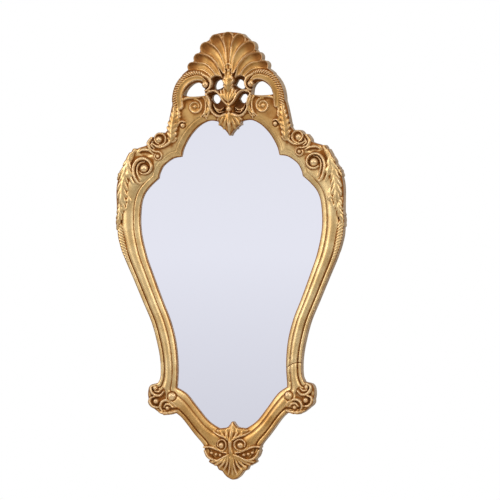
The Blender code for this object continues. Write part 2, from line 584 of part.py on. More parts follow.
def turned(name, profile, place, material=None):
    """A body turned about an axis along Y, from (radius, y) points that begin and end on the axis."""
    rows = profile[1:-1]
    n = SCREW_SIDES
    vertices = [(0, profile[0][1], 0)]
    for radius, y in rows:
        for k in range(n):
            turn = 2 * math.pi * k / n
            vertices.append((radius * math.cos(turn), y, radius * math.sin(turn)))
    vertices.append((0, profile[-1][1], 0))
    last = len(vertices) - 1
    faces = [(0, 1 + (k + 1) % n, 1 + k) for k in range(n)]
    for row in range(len(rows) - 1):
        a, b = 1 + row * n, 1 + (row + 1) * n
        faces += [(a + k, a + (k + 1) % n, b + (k + 1) % n, b + k) for k in range(n)]
    a = 1 + (len(rows) - 1) * n
    faces += [(last, a + k, a + (k + 1) % n) for k in range(n)]
    obj = add_object(name, vertices, faces, material)
    obj.location = place
    return obj


def as_cutter(obj):
    """Marks an object as one that only cuts others."""
    obj.hide_render = True
    obj.display_type = "WIRE"
    return obj


def cut(obj, cutter):
    """Takes the cutter's shape away from an object."""
    modifier = obj.modifiers.new("cut", "BOOLEAN")
    modifier.operation = "DIFFERENCE"
    modifier.solver = "EXACT"
    modifier.object = cutter


def make_material(name, colour, roughness, metallic):
    """A plain material of one colour."""
    material = bpy.data.materials.new(name)
    material.use_nodes = True
    shader = material.node_tree.nodes["Principled BSDF"]
    shader.inputs["Base Color"].default_value = (*colour, 1)
    shader.inputs["Roughness"].default_value = roughness
    shader.inputs["Metallic"].default_value = metallic
    return material


def solid_of(relief):
    """Vertices and faces of the solid between the carving and the wall, both halves."""
    least = 0.15 * relief.step
    level = np.where(np.abs(relief.level) < least, least * np.sign(relief.level + 1e-9), relief.level)
    inside = level > 0
    rows, columns = level.shape
    points = []
    number = {}

    def vertex(key, x, z, height):
        if key not in number:
            number[key] = len(points)
            points.append((x, height, z))
        return number[key]

    def node(j, i):
        return vertex((j, i), relief.xs[i], relief.zs[j], relief.height[j, i])

    def crossing(a, b):
        a, b = min(a, b), max(a, b)
        share = level[a] / (level[a] - level[b])
        x = relief.xs[a[1]] + share * (relief.xs[b[1]] - relief.xs[a[1]])
        z = relief.zs[a[0]] + share * (relief.zs[b[0]] - relief.zs[a[0]])
        return vertex((a, b), x, z, relief.height[a if inside[a] else b])

    polygons = []
    rim = []
    for j in range(rows - 1):
        for i in range(columns - 1):
            corners = [(j, i), (j, i + 1), (j + 1, i + 1), (j + 1, i)]
            if not any(inside[c] for c in corners):
                continue
            polygon = []
            edge = []
            for c, d in zip(corners, corners[1:] + corners[:1]):
                if inside[c]:
                    polygon.append(node(*c))
                if inside[c] != inside[d]:
                    polygon.append(crossing(c, d))
                    edge.append((len(polygon) - 1, inside[c]))
            polygons.append(polygon)
            for place, leaving in edge:
                if leaving:
                    rim.append((polygon[place], polygon[(place + 1) % len(polygon)]))
    p = np.array(points)
    n = len(p)
    mirrored = np.where(p[:, 0] < 1e-6, np.arange(n), np.arange(n) + n)
    x = np.concatenate([p[:, 0], -p[:, 0]])
    y = np.concatenate([front(p[:, 1])] * 2)
    z = np.concatenate([p[:, 2]] * 2)
    fronts = polygons + [[mirrored[v] for v in reversed(f)] for f in polygons]
    rims = rim + [(mirrored[b], mirrored[a]) for a, b in rim]
    used = np.unique(np.concatenate([np.array(f) for f in fronts]))
    place = np.full(2 * n, -1)
    place[used] = np.arange(len(used))
    count = len(used)
    face_side = np.column_stack([world_x(x[used], z[used]), y[used], world_z(z[used])])
    wall_side = face_side * [1, 0, 1] + [0, GAP, 0]
    faces = [[int(place[v]) for v in f] for f in fronts]
    backs = [[v + count for v in reversed(f)] for f in faces]
    walls = [(int(place[b]), int(place[a]), int(place[a]) + count, int(place[b]) + count) for a, b in rims]
    return np.vstack([face_side, wall_side]), faces + backs + walls


def both_halves(half):
    """The whole closed loop, in metres, from a half loop that runs from the axis to the axis."""
    right = [(float(world_x(x, z)), world_z(z)) for x, z in half]
    left = [(float(world_x(-x, z)), world_z(z)) for x, z in half[-2:0:-1]]
    return (right + left)[::-1]


def grown(loop, by):
    """A counter-clockwise loop with each side moved outwards by the same distance."""
    p = np.array(loop)
    along_side = np.roll(p, -1, axis=0) - p
    along_side /= np.linalg.norm(along_side, axis=1)[:, None]
    after = np.column_stack([along_side[:, 1], -along_side[:, 0]])
    before = np.roll(after, 1, axis=0)
    miter = (before + after) / (1 + (before * after).sum(1))[:, None]
    return [tuple(point) for point in p + by * miter]


def slot_outline(low, high, radius, sides=8):
    """A slot: two half circles, joined by straight sides, counter-clockwise."""
    under = [math.pi + math.pi * k / sides for k in range(sides + 1)]
    over = [math.pi * k / sides for k in range(sides + 1)]
    points = [(radius * math.cos(t), low + radius * math.sin(t)) for t in under]
    return points + [(radius * math.cos(t), high + radius * math.sin(t)) for t in over]


def screw_profile(grow=0.0, lift=0.0):
    """(radius, y) points of a countersunk screw that goes in from y = 0 towards the front."""
    points = [(0, lift), (SCREW_HEAD_RADIUS + grow, lift)]
    if lift:
        points.append((SCREW_HEAD_RADIUS + grow, 0))
    points += [(SCREW_RADIUS + grow, -SCREW_HEAD_HEIGHT), (SCREW_RADIUS + grow, -SCREW_LENGTH - grow)]
    return points + [(0, -SCREW_LENGTH - grow)]


def add_screw(name, x, y, z, material):
    """Adds a screw, and gives the cutter for its hole."""
    turned(name, screw_profile(), (x, y - GAP / 2, z), material)
    return as_cutter(turned(name + "_hole", screw_profile(GAP, SCREW_CLEAR), (x, y - GAP / 2, z)))


def make_frame(material):
    """The carved frame as one solid, thinned to the triangles that it may have, and cut flat at the wall."""
    vertices, faces = solid_of(build_relief(DESIGN_HEIGHT / GRID_ROWS))
    frame = add_object("carved_frame", vertices, faces, material)
    bm = bmesh.new()
    bm.from_mesh(frame.data)
    bmesh.ops.triangulate(bm, faces=bm.faces)
    count = len(bm.faces)
    bm.to_mesh(frame.data)
    bm.free()
    thin = frame.modifiers.new("thin", "DECIMATE")
    thin.ratio = min(1.0, FRAME_TRIANGLES / count)
    reach = HALF_WIDTH * LEFT_SHARE * UNIT + OVERCUT
    low, high = world_z(-MARGIN) - OVERCUT, world_z(DESIGN_HEIGHT + MARGIN) + OVERCUT
    behind = [(-reach, low), (reach, low), (reach, high), (-reach, high)]
    cut(frame, as_cutter(prism("wall_plane", behind, OVERCUT, 0.0)))
    return frame


def make_glass_and_board(frame, silvering, board):
    """The glass in its rebate and the board behind it, each with its gap, and the board's screws."""
    glass_back = -GAP - BOARD_THICKNESS - GAP
    glass_edge = both_halves(offset_edge(GLASS_MARGIN))
    board_edge = both_halves(offset_edge(BOARD_MARGIN))
    prism("mirror_glass", glass_edge, glass_back, glass_back - GLASS_THICKNESS, silvering)
    backing = prism("backing_board", board_edge, -GAP, -GAP - BOARD_THICKNESS, board)
    cut(frame, as_cutter(prism("glass_rebate", grown(glass_edge, GAP), OVERCUT, -REBATE_DEPTH)))
    cut(frame, as_cutter(prism("board_rebate", grown(board_edge, GAP), OVERCUT, glass_back)))
    return backing


def make_board_screws(frame, backing, steel):
    """The screws that hold the board, spread along each side between the edges of the glass and the board."""
    track = offset_edge((GLASS_MARGIN + BOARD_MARGIN) / 2 + GAP)
    number = 0
    for k in range(BOARD_SCREWS_PER_SIDE):
        x, z = track[round((k + 0.5) / BOARD_SCREWS_PER_SIDE * (len(track) - 1))]
        for side in (-1, 1):
            number += 1
            hole = add_screw(f"board_screw_{number}", float(world_x(side * x, z)), -GAP, world_z(z), steel)
            cut(frame, hole)
            cut(backing, hole)


def make_hanger(frame, steel):
    """The keyhole plate in the back of the crest, the pocket for the nail's head, and the plate's screws."""
    slot_top = -HANGER_RIM - KEYHOLE_SLOT_RADIUS
    hole_level = slot_top - KEYHOLE_DROP
    low = hole_level - KEYHOLE_RADIUS - HANGER_RIM
    half = HANGER_WIDTH / 2
    outline = [(-half, low), (half, low), (half, HANGER_RIM), (-half, HANGER_RIM)]
    plate = prism("hanger_plate", outline, 0.0, -HANGER_THICKNESS, steel)
    cut(frame, as_cutter(prism("hanger_recess", grown(outline, GAP), OVERCUT, -HANGER_THICKNESS - GAP)))
    pocket = slot_outline(hole_level, slot_top, NAIL_POCKET_RADIUS)
    cut(frame, as_cutter(prism("nail_pocket", pocket, OVERCUT, -NAIL_POCKET_DEPTH)))
    round_profile = [(0, OVERCUT), (KEYHOLE_RADIUS, OVERCUT), (KEYHOLE_RADIUS, -OVERCUT), (0, -OVERCUT)]
    cut(plate, as_cutter(turned("keyhole_round", round_profile, (0, 0, hole_level))))
    narrow = slot_outline(hole_level, slot_top, KEYHOLE_SLOT_RADIUS)
    cut(plate, as_cutter(prism("keyhole_slot", narrow, OVERCUT, -OVERCUT)))
    middle = (low + HANGER_RIM) / 2
    for k, side in enumerate((-1, 1)):
        hole = add_screw(f"hanger_screw_{k + 1}", side * HANGER_SCREW_REACH, 0.0, middle, steel)
        cut(frame, hole)
        cut(plate, hole)


def build():
    """Empties the scene, and models the mirror's pieces."""
    for obj in list(bpy.data.objects):
        bpy.data.objects.remove(obj, do_unlink=True)
    gilding = make_material("gilding", (0.62, 0.38, 0.13), 0.4, 0.8)
    silvering = make_material("silvering", (0.86, 0.87, 0.92), 0.03, 1.0)
    board = make_material("board", (0.40, 0.29, 0.18), 0.8, 0.0)
    steel = make_material("steel", (0.55, 0.55, 0.56), 0.35, 1.0)

    frame = make_frame(gilding)
    backing = make_glass_and_board(frame, silvering, board)
    make_board_screws(frame, backing, steel)
    make_hanger(frame, steel)


build()
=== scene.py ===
"""Looks of the wall mirror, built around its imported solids.

The carving is drawn in design units on a frame 800 units high, as in the solids: x from the axis, z from
the bottom tip, and heights from the wall. Half of it is worked, then mirrored, worn and damaged.
"""
import math

import bmesh
import bpy
import numpy as np
from mathutils import Matrix, Vector


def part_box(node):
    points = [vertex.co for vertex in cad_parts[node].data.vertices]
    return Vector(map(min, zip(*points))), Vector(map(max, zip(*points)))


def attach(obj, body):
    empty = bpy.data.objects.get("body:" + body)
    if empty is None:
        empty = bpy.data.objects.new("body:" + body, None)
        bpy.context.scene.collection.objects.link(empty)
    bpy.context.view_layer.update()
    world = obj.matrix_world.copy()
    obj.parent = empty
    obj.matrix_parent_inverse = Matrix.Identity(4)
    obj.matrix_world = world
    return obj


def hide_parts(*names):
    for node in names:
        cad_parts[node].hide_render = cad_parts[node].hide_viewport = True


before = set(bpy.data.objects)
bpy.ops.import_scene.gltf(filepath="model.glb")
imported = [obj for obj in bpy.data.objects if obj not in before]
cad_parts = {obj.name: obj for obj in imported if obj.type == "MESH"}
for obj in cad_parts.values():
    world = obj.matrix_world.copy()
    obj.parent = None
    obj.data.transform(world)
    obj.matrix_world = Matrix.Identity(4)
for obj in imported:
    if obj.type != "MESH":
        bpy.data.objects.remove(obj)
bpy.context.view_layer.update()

# The frame in metres, as in the solids
HEIGHT = 0.800
GLASS_THICKNESS = 0.003
BOARD_THICKNESS = 0.003
GAP = 0.0003
LIP_THICKNESS = 0.0026
GLASS_MARGIN = 0.006
BOARD_MARGIN = 0.0135
CORNER_STEP = 0.012
REBATE_DEPTH = BOARD_THICKNESS + GLASS_THICKNESS + 3 * GAP
NAIL_POCKET_DEPTH = 0.010
NAIL_POCKET_RADIUS = 0.0075
SCREW_HOLE_RADIUS = 0.0017
SCREW_HOLE_DEPTH = 0.0108
SCREW_HOLE_SIDES = 12
NAIL_POCKET_SIDES = 24
BOARD_SCREWS = sorted(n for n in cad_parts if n.startswith("board_screw"))

# The carving, in design units
DESIGN_HEIGHT = 800.0
UNIT = HEIGHT / DESIGN_HEIGHT
HALF_WIDTH = 222.0
MARGIN_BELOW = 4.0
MARGIN_ABOVE = 6.0
HANGER_LEVEL = 745.0
LIP_LEVEL = 9.5
EDGE_LEVEL = 13.0
GROUND_LEVEL = 17.0
OUTSIDE = -1000.0
RELIEF = 0.82
LEFT_SHARE = 1.021
LEAN = 2.6
LEAN_TOP = 430.0
LEAN_SPAN = 220.0
ROUND_OFF = 0.6
CURVE_STEPS = 8
GRID_STEP = 0.65
FRONT_TRIANGLES = 175000
SHARP_ANGLE = math.radians(50)
FRONT, SIDE, RAW = 0, 1, 2

# The moulding's profile, in design units, with places from the glass or from the outline
FULL_FACE = 38.0
NARROWEST_SHARE = 0.72
HIGH_LEVEL = 520.0
HIGH_SPAN = 60.0
BEVEL_START = 0.8
BEVEL_WIDTH = 9.0
BEVEL_END = 10.4
BEVEL_FOOT = 9.8
BEVEL_RISE = 6.4
HIGH_BEVEL_RISE = 0.8
GROOVE_PLACE = 10.9
GROOVE_WIDTH = 1.7
GROOVE_DEPTH = 0.8
GROOVE_SHADE = 0.25
CREASE_PLACE = 8.9
CREASE_WIDTH = 1.3
CREASE_DEPTH = 0.5
CREASE_SHADE = 0.2
TORUS_FOOT = 15.2
TORUS_RISE = 6.2
BEAD_PLACE = 4.2
BEAD_HALF_WIDTH = 4.6
BEAD_RISE = 6.0
BEAD_TOP = 21.0
EDGE_ROUND = 4.0

# Wear, in design units: the crack's ends, bend and width, the pits' places and radii, and their depth
CRACK = ((100.5, 198.5), (131.5, 208))
CRACK_BEND = 3.0
CRACK_WIDTH = 1.5
PITS = ((109.5, 216, 2.6), (124, 214, 2.2), (109.5, 189, 2.4), (109, 175, 2.2))
PIT_STRETCH = 0.6
DAMAGE_DEPTH = 1.8
DAMAGE_STAIN = 0.85

# Where the carver's hand strays from the even design: x, z, the move across and up, and the radius
STRAYS = (
    (0, 62, -3.2, 0.6, 34), (-109, 149, -1.8, 0.5, 26), (109, 149, -1.8, 0.3, 26), (-159, 562, 0.6, -4, 34),
    (159, 562, -1.2, 3.0, 34), (-131, 582, 0, -2.4, 22), (131, 583, -2.5, 1.6, 22), (0, 725, 0.8, 0, 30),
)

# The gilding's colours on a screen, the pale and the deep one each a pair that is mixed in patches
PALE_GOLD = ((200, 166, 112), (219, 190, 138))
DEEP_GOLD = ((172, 126, 66), (194, 152, 92))
# The ridges' painted highlight, partly gilding worn bright
RIDGE_HIGHLIGHT_GOLD = (222, 190, 150)
# Brown for the patina in the hollows and for the painted shade, and a darker brown where both are deepest
PATINA_AND_SHADE = (134, 78, 18)
DARK_PATINA_AND_SHADE = (92, 50, 10)
HOLLOW_RADII = (("hollow", 2.0), ("broad_hollow", 5.0))
CREST_HEIGHTS = (-0.20, -0.08)
FOOT_HEIGHTS = (-0.56, -0.64)

# The photograph's view: from the right of the glass, level with its middle, by a long lens
CAMERA_AZIMUTH = math.radians(18.0)
CAMERA_ROLL = math.radians(0.754)
CAMERA_DISTANCE = 12.0
METRES_PER_PIXEL = 0.001784
AIM_POINT = Vector((0.0, -0.020, -0.345))
AIM_PIXEL = (230.5, 255.6)
PICTURE_SIZE = 500
SENSOR = 36.0

# The studio: brightness from below, 0, to above, 1, the floor, and each light's place, aim, size and watts
SKY = ((0.0, 0.08), (0.42, 0.18), (0.5, 0.98), (0.60, 0.45), (1.0, 0.8))
FLOOR_HEIGHT = -1.5
FLOOR_REACH = 2.0
FLOOR_COLOUR = (0.80, 0.80, 0.79, 1)
LIGHTS = (
    ("left", (-1.9, -1.7, 0.5), (0, 0, -0.3), (0.9, 1.6), 34),
    ("right", (1.9, -1.3, 0.4), (0, 0, -0.3), (0.6, 1.4), 20),
    ("top", (0.1, -1.6, 1.9), (0, 0, -0.2), (1.2, 0.5), 21),
)


def path(points):
    """The points of a text of x,z pairs, or points as they are."""
    if isinstance(points, str):
        return [tuple(float(value) for value in pair.split(",")) for pair in points.split()]
    return list(points)


def smooth_path(points):
    """Catmull-Rom curve through the points, as an array of points."""
    p = np.array(path(points), float)
    if len(p) == 2:
        t = np.linspace(0, 1, CURVE_STEPS + 1)[:, None]
        return p[0] * (1 - t) + p[1] * t
    ends = np.vstack([2 * p[0] - p[1], p, 2 * p[-1] - p[-2]])
    t = np.linspace(0, 1, CURVE_STEPS, endpoint=False)[:, None]
    spans = []
    for a, b, c, d in zip(ends, ends[1:], ends[2:], ends[3:]):
        bend = (2 * a - 5 * b + 4 * c - d) * t**2 + (3 * b - a - 3 * c + d) * t**3
        spans.append(0.5 * (2 * b + (c - a) * t + bend))
    return np.vstack([*spans, p[-1:]])


def along(values, s):
    """A value that varies along a path: a number, or several spaced evenly."""
    if np.isscalar(values):
        return values
    return np.interp(s, np.linspace(0, 1, len(values)), values)


def ease(t):
    """A smooth step from 0 to 1."""
    t = np.clip(t, 0, 1)
    return t * t * (3 - 2 * t)


def bump(t):
    """1 at t = 0, and 0 with a flat foot from t = 1 outwards."""
    return ease(1 - np.abs(t))


def wave(s, v, count, slant):
    """From 0 to 1 and back, count times along a band and slanted across it."""
    return 0.5 - 0.5 * np.cos(math.tau * (count * s + slant * v))


def blurred(grid, mask, passes):
    """A soft copy of a grid, without what is outside the mask."""
    total, weight = grid * mask, mask.astype(float)
    for _ in range(passes):
        for axis in (0, 1):
            total = (total + 0.5 * np.roll(total, 1, axis) + 0.5 * np.roll(total, -1, axis)) / 2
            weight = (weight + 0.5 * np.roll(weight, 1, axis) + 0.5 * np.roll(weight, -1, axis)) / 2
    return total / np.maximum(weight, 1e-6)


class Relief:
    """Height over half of the frame's plane, level above 0 inside the outline, and painted shade and patina.
    """

    def __init__(self, width, bottom, top, step):
        self.step = step
        self.xs = np.arange(math.ceil(width / step) + 1) * step
        self.zs = bottom + np.arange(math.ceil((top - bottom) / step) + 1) * step
        self.x, self.z = np.meshgrid(self.xs, self.zs)
        self.height = np.zeros_like(self.x)
        self.level = np.full_like(self.x, OUTSIDE)
        self.stain_and_shade = np.zeros_like(self.x)

    def window(self, line, reach):
        """The part of the grid within reach of a path, as (rows, columns)."""
        low, high = line.min(0) - reach, line.max(0) + reach
        spans = []
        for first, a, b in ((self.zs[0], low[1], high[1]), (self.xs[0], low[0], high[0])):
            start, stop = int((a - first) / self.step), int((b - first) / self.step) + 2
            spans.append(slice(max(0, start), max(0, stop)))
        return tuple(spans)

    def nearest(self, line, reach, w=None):
        """(window, distance, signed distance, share along the path) of the points near a path."""
        w = w or self.window(line, reach)
        x, z = self.x[w], self.z[w]
        best = np.full(x.shape, np.inf)
        side = np.zeros(x.shape)
        share = np.zeros(x.shape)
        steps = np.hypot(*np.diff(line, axis=0).T)
        run = np.concatenate([[0], np.cumsum(steps)]) / steps.sum()
        for k in range(len(line) - 1):
            ax, az = line[k]
            ux, uz = line[k + 1] - line[k]
            length2 = ux * ux + uz * uz
            if length2 < 1e-12:
                continue
            t = np.clip(((x - ax) * ux + (z - az) * uz) / length2, 0, 1)
            dx, dz = x - ax - t * ux, z - az - t * uz
            d2 = dx * dx + dz * dz
            near = d2 < best
            best = np.where(near, d2, best)
            side = np.where(near, np.sign(ux * (z - az) - uz * (x - ax)), side)
            share = np.where(near, run[k] + t * (run[k + 1] - run[k]), share)
        d = np.sqrt(best)
        return w, d, d * side, share

    def put(self, w, use, height, stain_and_shade):
        self.height[w] = np.where(use, height, self.height[w])
        self.stain_and_shade[w] = np.where(use, stain_and_shade, self.stain_and_shade[w])

    def add(self, w, height, level, stain_and_shade=0.0):
        """Raises the carving to height wherever level is above 0, and gives what it raises its painted shade
        and patina.
        """
        self.put(w, (level > 0) & (height > self.height[w]), height, stain_and_shade)
        self.level[w] = np.maximum(self.level[w], level)

    def stroke(self, points, width, top, rise, power=0.5, ripple=None):
        """A rounded band along a path. width is the half width, and its sides fall by rise below top."""
        w, d, sd, s = self.nearest(smooth_path(points), np.max(width) + self.step)
        half = along(width, s)
        t = np.clip(d / half, 0, 1)
        h = along(top, s) - along(rise, s) * (1 - (1 - t * t) ** power)
        stain_and_shade = 0.0
        if ripple is not None:
            wave = ripple(s, sd / half)
            h = h + wave
            stain_and_shade = np.clip(-0.3 * wave, 0, 0.8)
        self.add(w, h, half - d, stain_and_shade)

    def dome(self, centre, radius, top, rise, ring=0.0):
        """A round boss. With a ring, a channel of that width runs round it, painted dark as shade."""
        w = self.window(np.array([centre], float), radius + ring + self.step)
        d = np.hypot(self.x[w] - centre[0], self.z[w] - centre[1])
        if ring:
            moat = bump((d - radius - 0.4 * ring) / (0.6 * ring)) * (d < radius + ring)
            self.height[w] -= 2.2 * moat
            # The channel is painted dark: painted shade round the boss
            self.stain_and_shade[w] = np.maximum(self.stain_and_shade[w], 0.85 * moat)
        t = np.clip(d / radius, 0, 1)
        self.add(w, top - rise * (1 - np.sqrt(1 - t * t)), radius - d)

    def band(self, points, width, top, rise, hollow, edge):
        """A band along a path, with a shallow hollow between two raised edges."""
        w, d, _, s = self.nearest(smooth_path(points), np.max(width) + self.step)
        half = along(width, s)
        t = np.clip(d / np.maximum(half, 1e-6), 0, 1)
        crest = 1 - edge
        dip = along(hollow, s) * np.clip(1 - (t / crest) ** 2, 0, 1)
        fall = along(rise, s) * np.clip((t - crest) / edge, 0, 1) ** 2
        self.add(w, along(top, s) - dip - fall, half - d)

    def scroll(self, centre, outer, inner, start, turns, clockwise, top, floor, eye, eye_top, rim, dark):
        """A rolled scroll: a ridge that winds in round a boss, over a face with painted shade in its cup."""
        w = self.window(np.array([centre], float), outer + rim + self.step)
        dx, dz = self.x[w] - centre[0], self.z[w] - centre[1]
        r = np.hypot(dx, dz)
        wound = np.mod((-1 if clockwise else 1) * (np.arctan2(dz, dx) - math.radians(start)), math.tau)
        total = math.tau * turns
        pitch = (outer - inner) / total
        h = np.full(r.shape, OUTSIDE)
        level = np.full(r.shape, OUTSIDE)
        stain_and_shade = np.zeros(r.shape)
        for k in range(int(math.ceil(turns)), -1, -1):
            here = wound + math.tau * k
            radius = outer - pitch * here
            after = here + math.tau
            inside = np.where(after < total, outer - pitch * after, eye * 0.8)
            t = np.clip((r - inside) / np.maximum(radius - inside, 1e-6), 0, 1)
            crest = along(top, here / total)
            face = floor + (crest - floor) * t ** 2.2
            lip = crest - (crest - floor) * np.clip((r - radius) / rim, 0, 1) ** 2
            this = np.where(r <= radius, face, lip)
            use = (here <= total) & (r <= radius + rim) & ((r > inside) | (h < 0))
            higher = use & (this > h)
            # The face is painted darker towards its inner edge: painted shade in the cup
            stain_and_shade = np.where(higher, np.where(r <= radius, dark * (1 - t ** 2), 0), stain_and_shade)
            h = np.where(higher, this, h)
            level = np.where(use, np.maximum(level, radius + rim - r), level)
        self.put(w, level > 0, h, stain_and_shade)
        self.level[w] = np.maximum(self.level[w], level)
        self.dome(centre, eye, eye_top, eye_top - floor)

    def acanthus(self, spine, width, top, rise, lobes, notch=0.3, lean=0.7, ruffle=1.6, rib=1.0):
        """A leaf along a path: a lobed edge, ribs that lean forward over furrows painted darker, and a
        midrib.
        """
        w, d, _, s = self.nearest(smooth_path(spine), np.max(width) + self.step)
        half = along(width, s)
        t = d / np.maximum(half, 1e-6)
        wave = np.abs(np.cos(math.pi * (lobes * s - lean * np.clip(t, 0, 1.2)))) ** 0.7
        edge = 1 - notch * (1 - wave)
        u = np.clip(t / edge, 0, 1)
        out = np.clip(t * 1.8, 0, 1)
        h = along(top, s) - along(rise, s) * (1 - np.sqrt(1 - u * u)) + ruffle * (wave - 0.6) * out
        h = h + rib * bump(d / 1.8) * (s < 0.97)
        self.add(w, h, (edge - t) * half, 0.8 * (1 - wave) * out)

    def palmette(self, spines, widths, floor, ridge, groove, reach_out, dark):
        """Concave flutes side by side, as in a shell, with a darker groove where two meet and painted shade,
        partly patina, at each end.
        """
        lines = [smooth_path(points) for points in spines]
        w = self.window(np.vstack(lines), max(map(max, widths)) + self.step)
        best = np.full(self.x[w].shape, np.inf)
        h, stain_and_shade = np.zeros_like(best), np.zeros_like(best)
        level = np.full_like(best, OUTSIDE)
        for line, width in zip(lines, widths):
            _, d, _, s = self.nearest(line, 0, w)
            half = along(width, s)
            t = d / half
            near = t < best
            u = np.clip(t, 0, 1.3)
            bowl = along(ridge, s) * (0.35 * np.clip(u, 0, 1) ** 2 + 0.65 * np.clip(u / 0.9, 0, 1) ** 6)
            seam = groove * np.clip(1 - np.abs(u - 1) / 0.12, 0, 1)
            end = line[-1] - line[-2]
            end /= np.hypot(*end)
            beyond = (self.x[w] - line[-1][0]) * end[0] + (self.z[w] - line[-1][1]) * end[1]
            # Each flute's outer end is painted dark: shade in the scoop under the rim, partly patina
            end_shade_and_patina = dark * ease((beyond + 22) / 20) * (1 - np.clip(u / 0.97, 0, 1) ** 8)
            h = np.where(near, along(floor, s) + bowl - seam, h)
            stain_and_shade = np.where(near, np.maximum(end_shade_and_patina, 0.7 * (seam > 0.3 * groove)), stain_and_shade)
            best = np.minimum(best, t)
            level = np.maximum(level, half - d)
        self.put(w, ((level > 0) | (self.level[w] > 0)) & (best < reach_out), h, stain_and_shade)
        self.level[w] = np.maximum(self.level[w], level)

    def loop_level(self, points, reach):
        """(window, signed distance above 0 inside) of a smooth closed loop."""
        p = path(points)
        loop = smooth_path([*p, p[0]])
        w = self.window(loop, reach)
        return w, self.inside(loop[:-1], w)

    def inside(self, loop, w=(slice(None), slice(None))):
        """Signed distance to a closed loop of points, above 0 inside it. Edges on the axis don't count."""
        x, z = self.x[w], self.z[w]
        best = np.full(x.shape, np.inf)
        crossings = np.zeros(x.shape, int)
        for (ax, az), (bx, bz) in zip(loop, np.roll(loop, -1, axis=0)):
            ux, uz = bx - ax, bz - az
            length2 = ux * ux + uz * uz
            if length2 < 1e-12:
                continue
            if abs(ax) > 1e-9 or abs(bx) > 1e-9:
                t = np.clip(((x - ax) * ux + (z - az) * uz) / length2, 0, 1)
                best = np.minimum(best, (x - ax - t * ux) ** 2 + (z - az - t * uz) ** 2)
            if abs(uz) > 1e-12:
                crossings += ((az > z) != (bz > z)) & (x < ux * (z - az) / uz + ax)
        return np.sqrt(best) * np.where(crossings % 2 == 1, 1, -1)

    def patch(self, points, top, rise, edge, stain_and_shade):
        """A low mound with the outline of a smooth closed loop."""
        w, level = self.loop_level(points, self.step)
        t = np.clip(1 - level / edge, 0, 1)
        self.add(w, top - rise * t * t, level, stain_and_shade)

    def sink(self, points, floor, slope=3.0, stain_and_shade=0.9):
        """Lowers the ground inside a smooth closed loop to a dark floor, over slope."""
        w, level = self.loop_level(points, self.step)
        t = ease(level / slope)
        low = self.height[w] + (floor - self.height[w]) * t
        self.put(w, (level > 0) & (low < self.height[w]), low, np.maximum(self.stain_and_shade[w], stain_and_shade * t))

    def pierce(self, points):
        """Cuts an opening right through, inside a smooth closed loop of points."""
        w, level = self.loop_level(points, 3 * self.step)
        self.level[w] = np.minimum(self.level[w], -level)
        # The ground round the opening is painted dark: shade at its edge, partly patina
        self.stain_and_shade[w] = np.maximum(self.stain_and_shade[w], 0.7 * np.clip(1 + level / 2.2, 0, 1) * (level < 0))

    def soften(self, radius):
        """Rounds every edge, as layers of gesso do, over a radius in design units."""
        mask = self.level > 0
        passes = max(1, round(2 * (radius / self.step) ** 2))
        for name in ("height", "stain_and_shade"):
            grid = getattr(self, name)
            setattr(self, name, np.where(mask, blurred(grid, mask, passes), grid))


def chain(*parts):
    """Smooth paths in a row, each from the end of the one before, as one path."""
    lines = [smooth_path(part) for part in parts]
    return np.vstack([lines[0], *(line[1:] for line in lines[1:])])


def sight_edge():
    """Half of the sight edge, from the axis at the top to the axis at the bottom."""
    return chain("0,622 14,636 37,641.5 57,633 74.5,615 86.5,594 91,578",
                 "91,578 107,575 124,563 131.5,550 134,540",
                 "134,540 148.5,527 161.2,511 167.6,488 168.4,448 159.7,405 "
                 "147.6,370 128.6,320 114.5,285 104.6,247 100.8,205 102.5,165",
                 "102.5,165 84.5,153 64.6,128 45.8,105.5 27.5,93 11.5,87 0,86")


def body_edge():
    """Half of the outline of the moulding and the crest's ground."""
    return chain("0,799 18,797 33,789 46,774 59.5,754 72.5,735 87.5,713 99.5,690 106.5,668 111.5,645 115,626",
                 "115,626 121,620.5 131,619 143,611.5 154,600 170,594.5 "
                 "184,584.5 195.5,566 205.5,545 210.8,521 210.3,480 210.5,452",
                 "210.5,452 205.5,430 197.9,400 180.6,360 163.3,320 "
                 "146.2,280 135.5,240 131,212 131,186 135.5,174",
                 "135.5,174 151,168.5 154.5,151 148.5,133 134,121 118,118 102,119",
                 "102,119 91,109 70,82 53.5,62 48.5,45 38,31 23.5,20 12,6 0,0")


def even(half, tip, rest=""):
    """A path across the axis: the mirrored half, the tip, the half backwards, and the rest."""
    half = path(half)
    return [*((-x, z) for x, z in half), *path(tip), *reversed(half), *path(rest)]


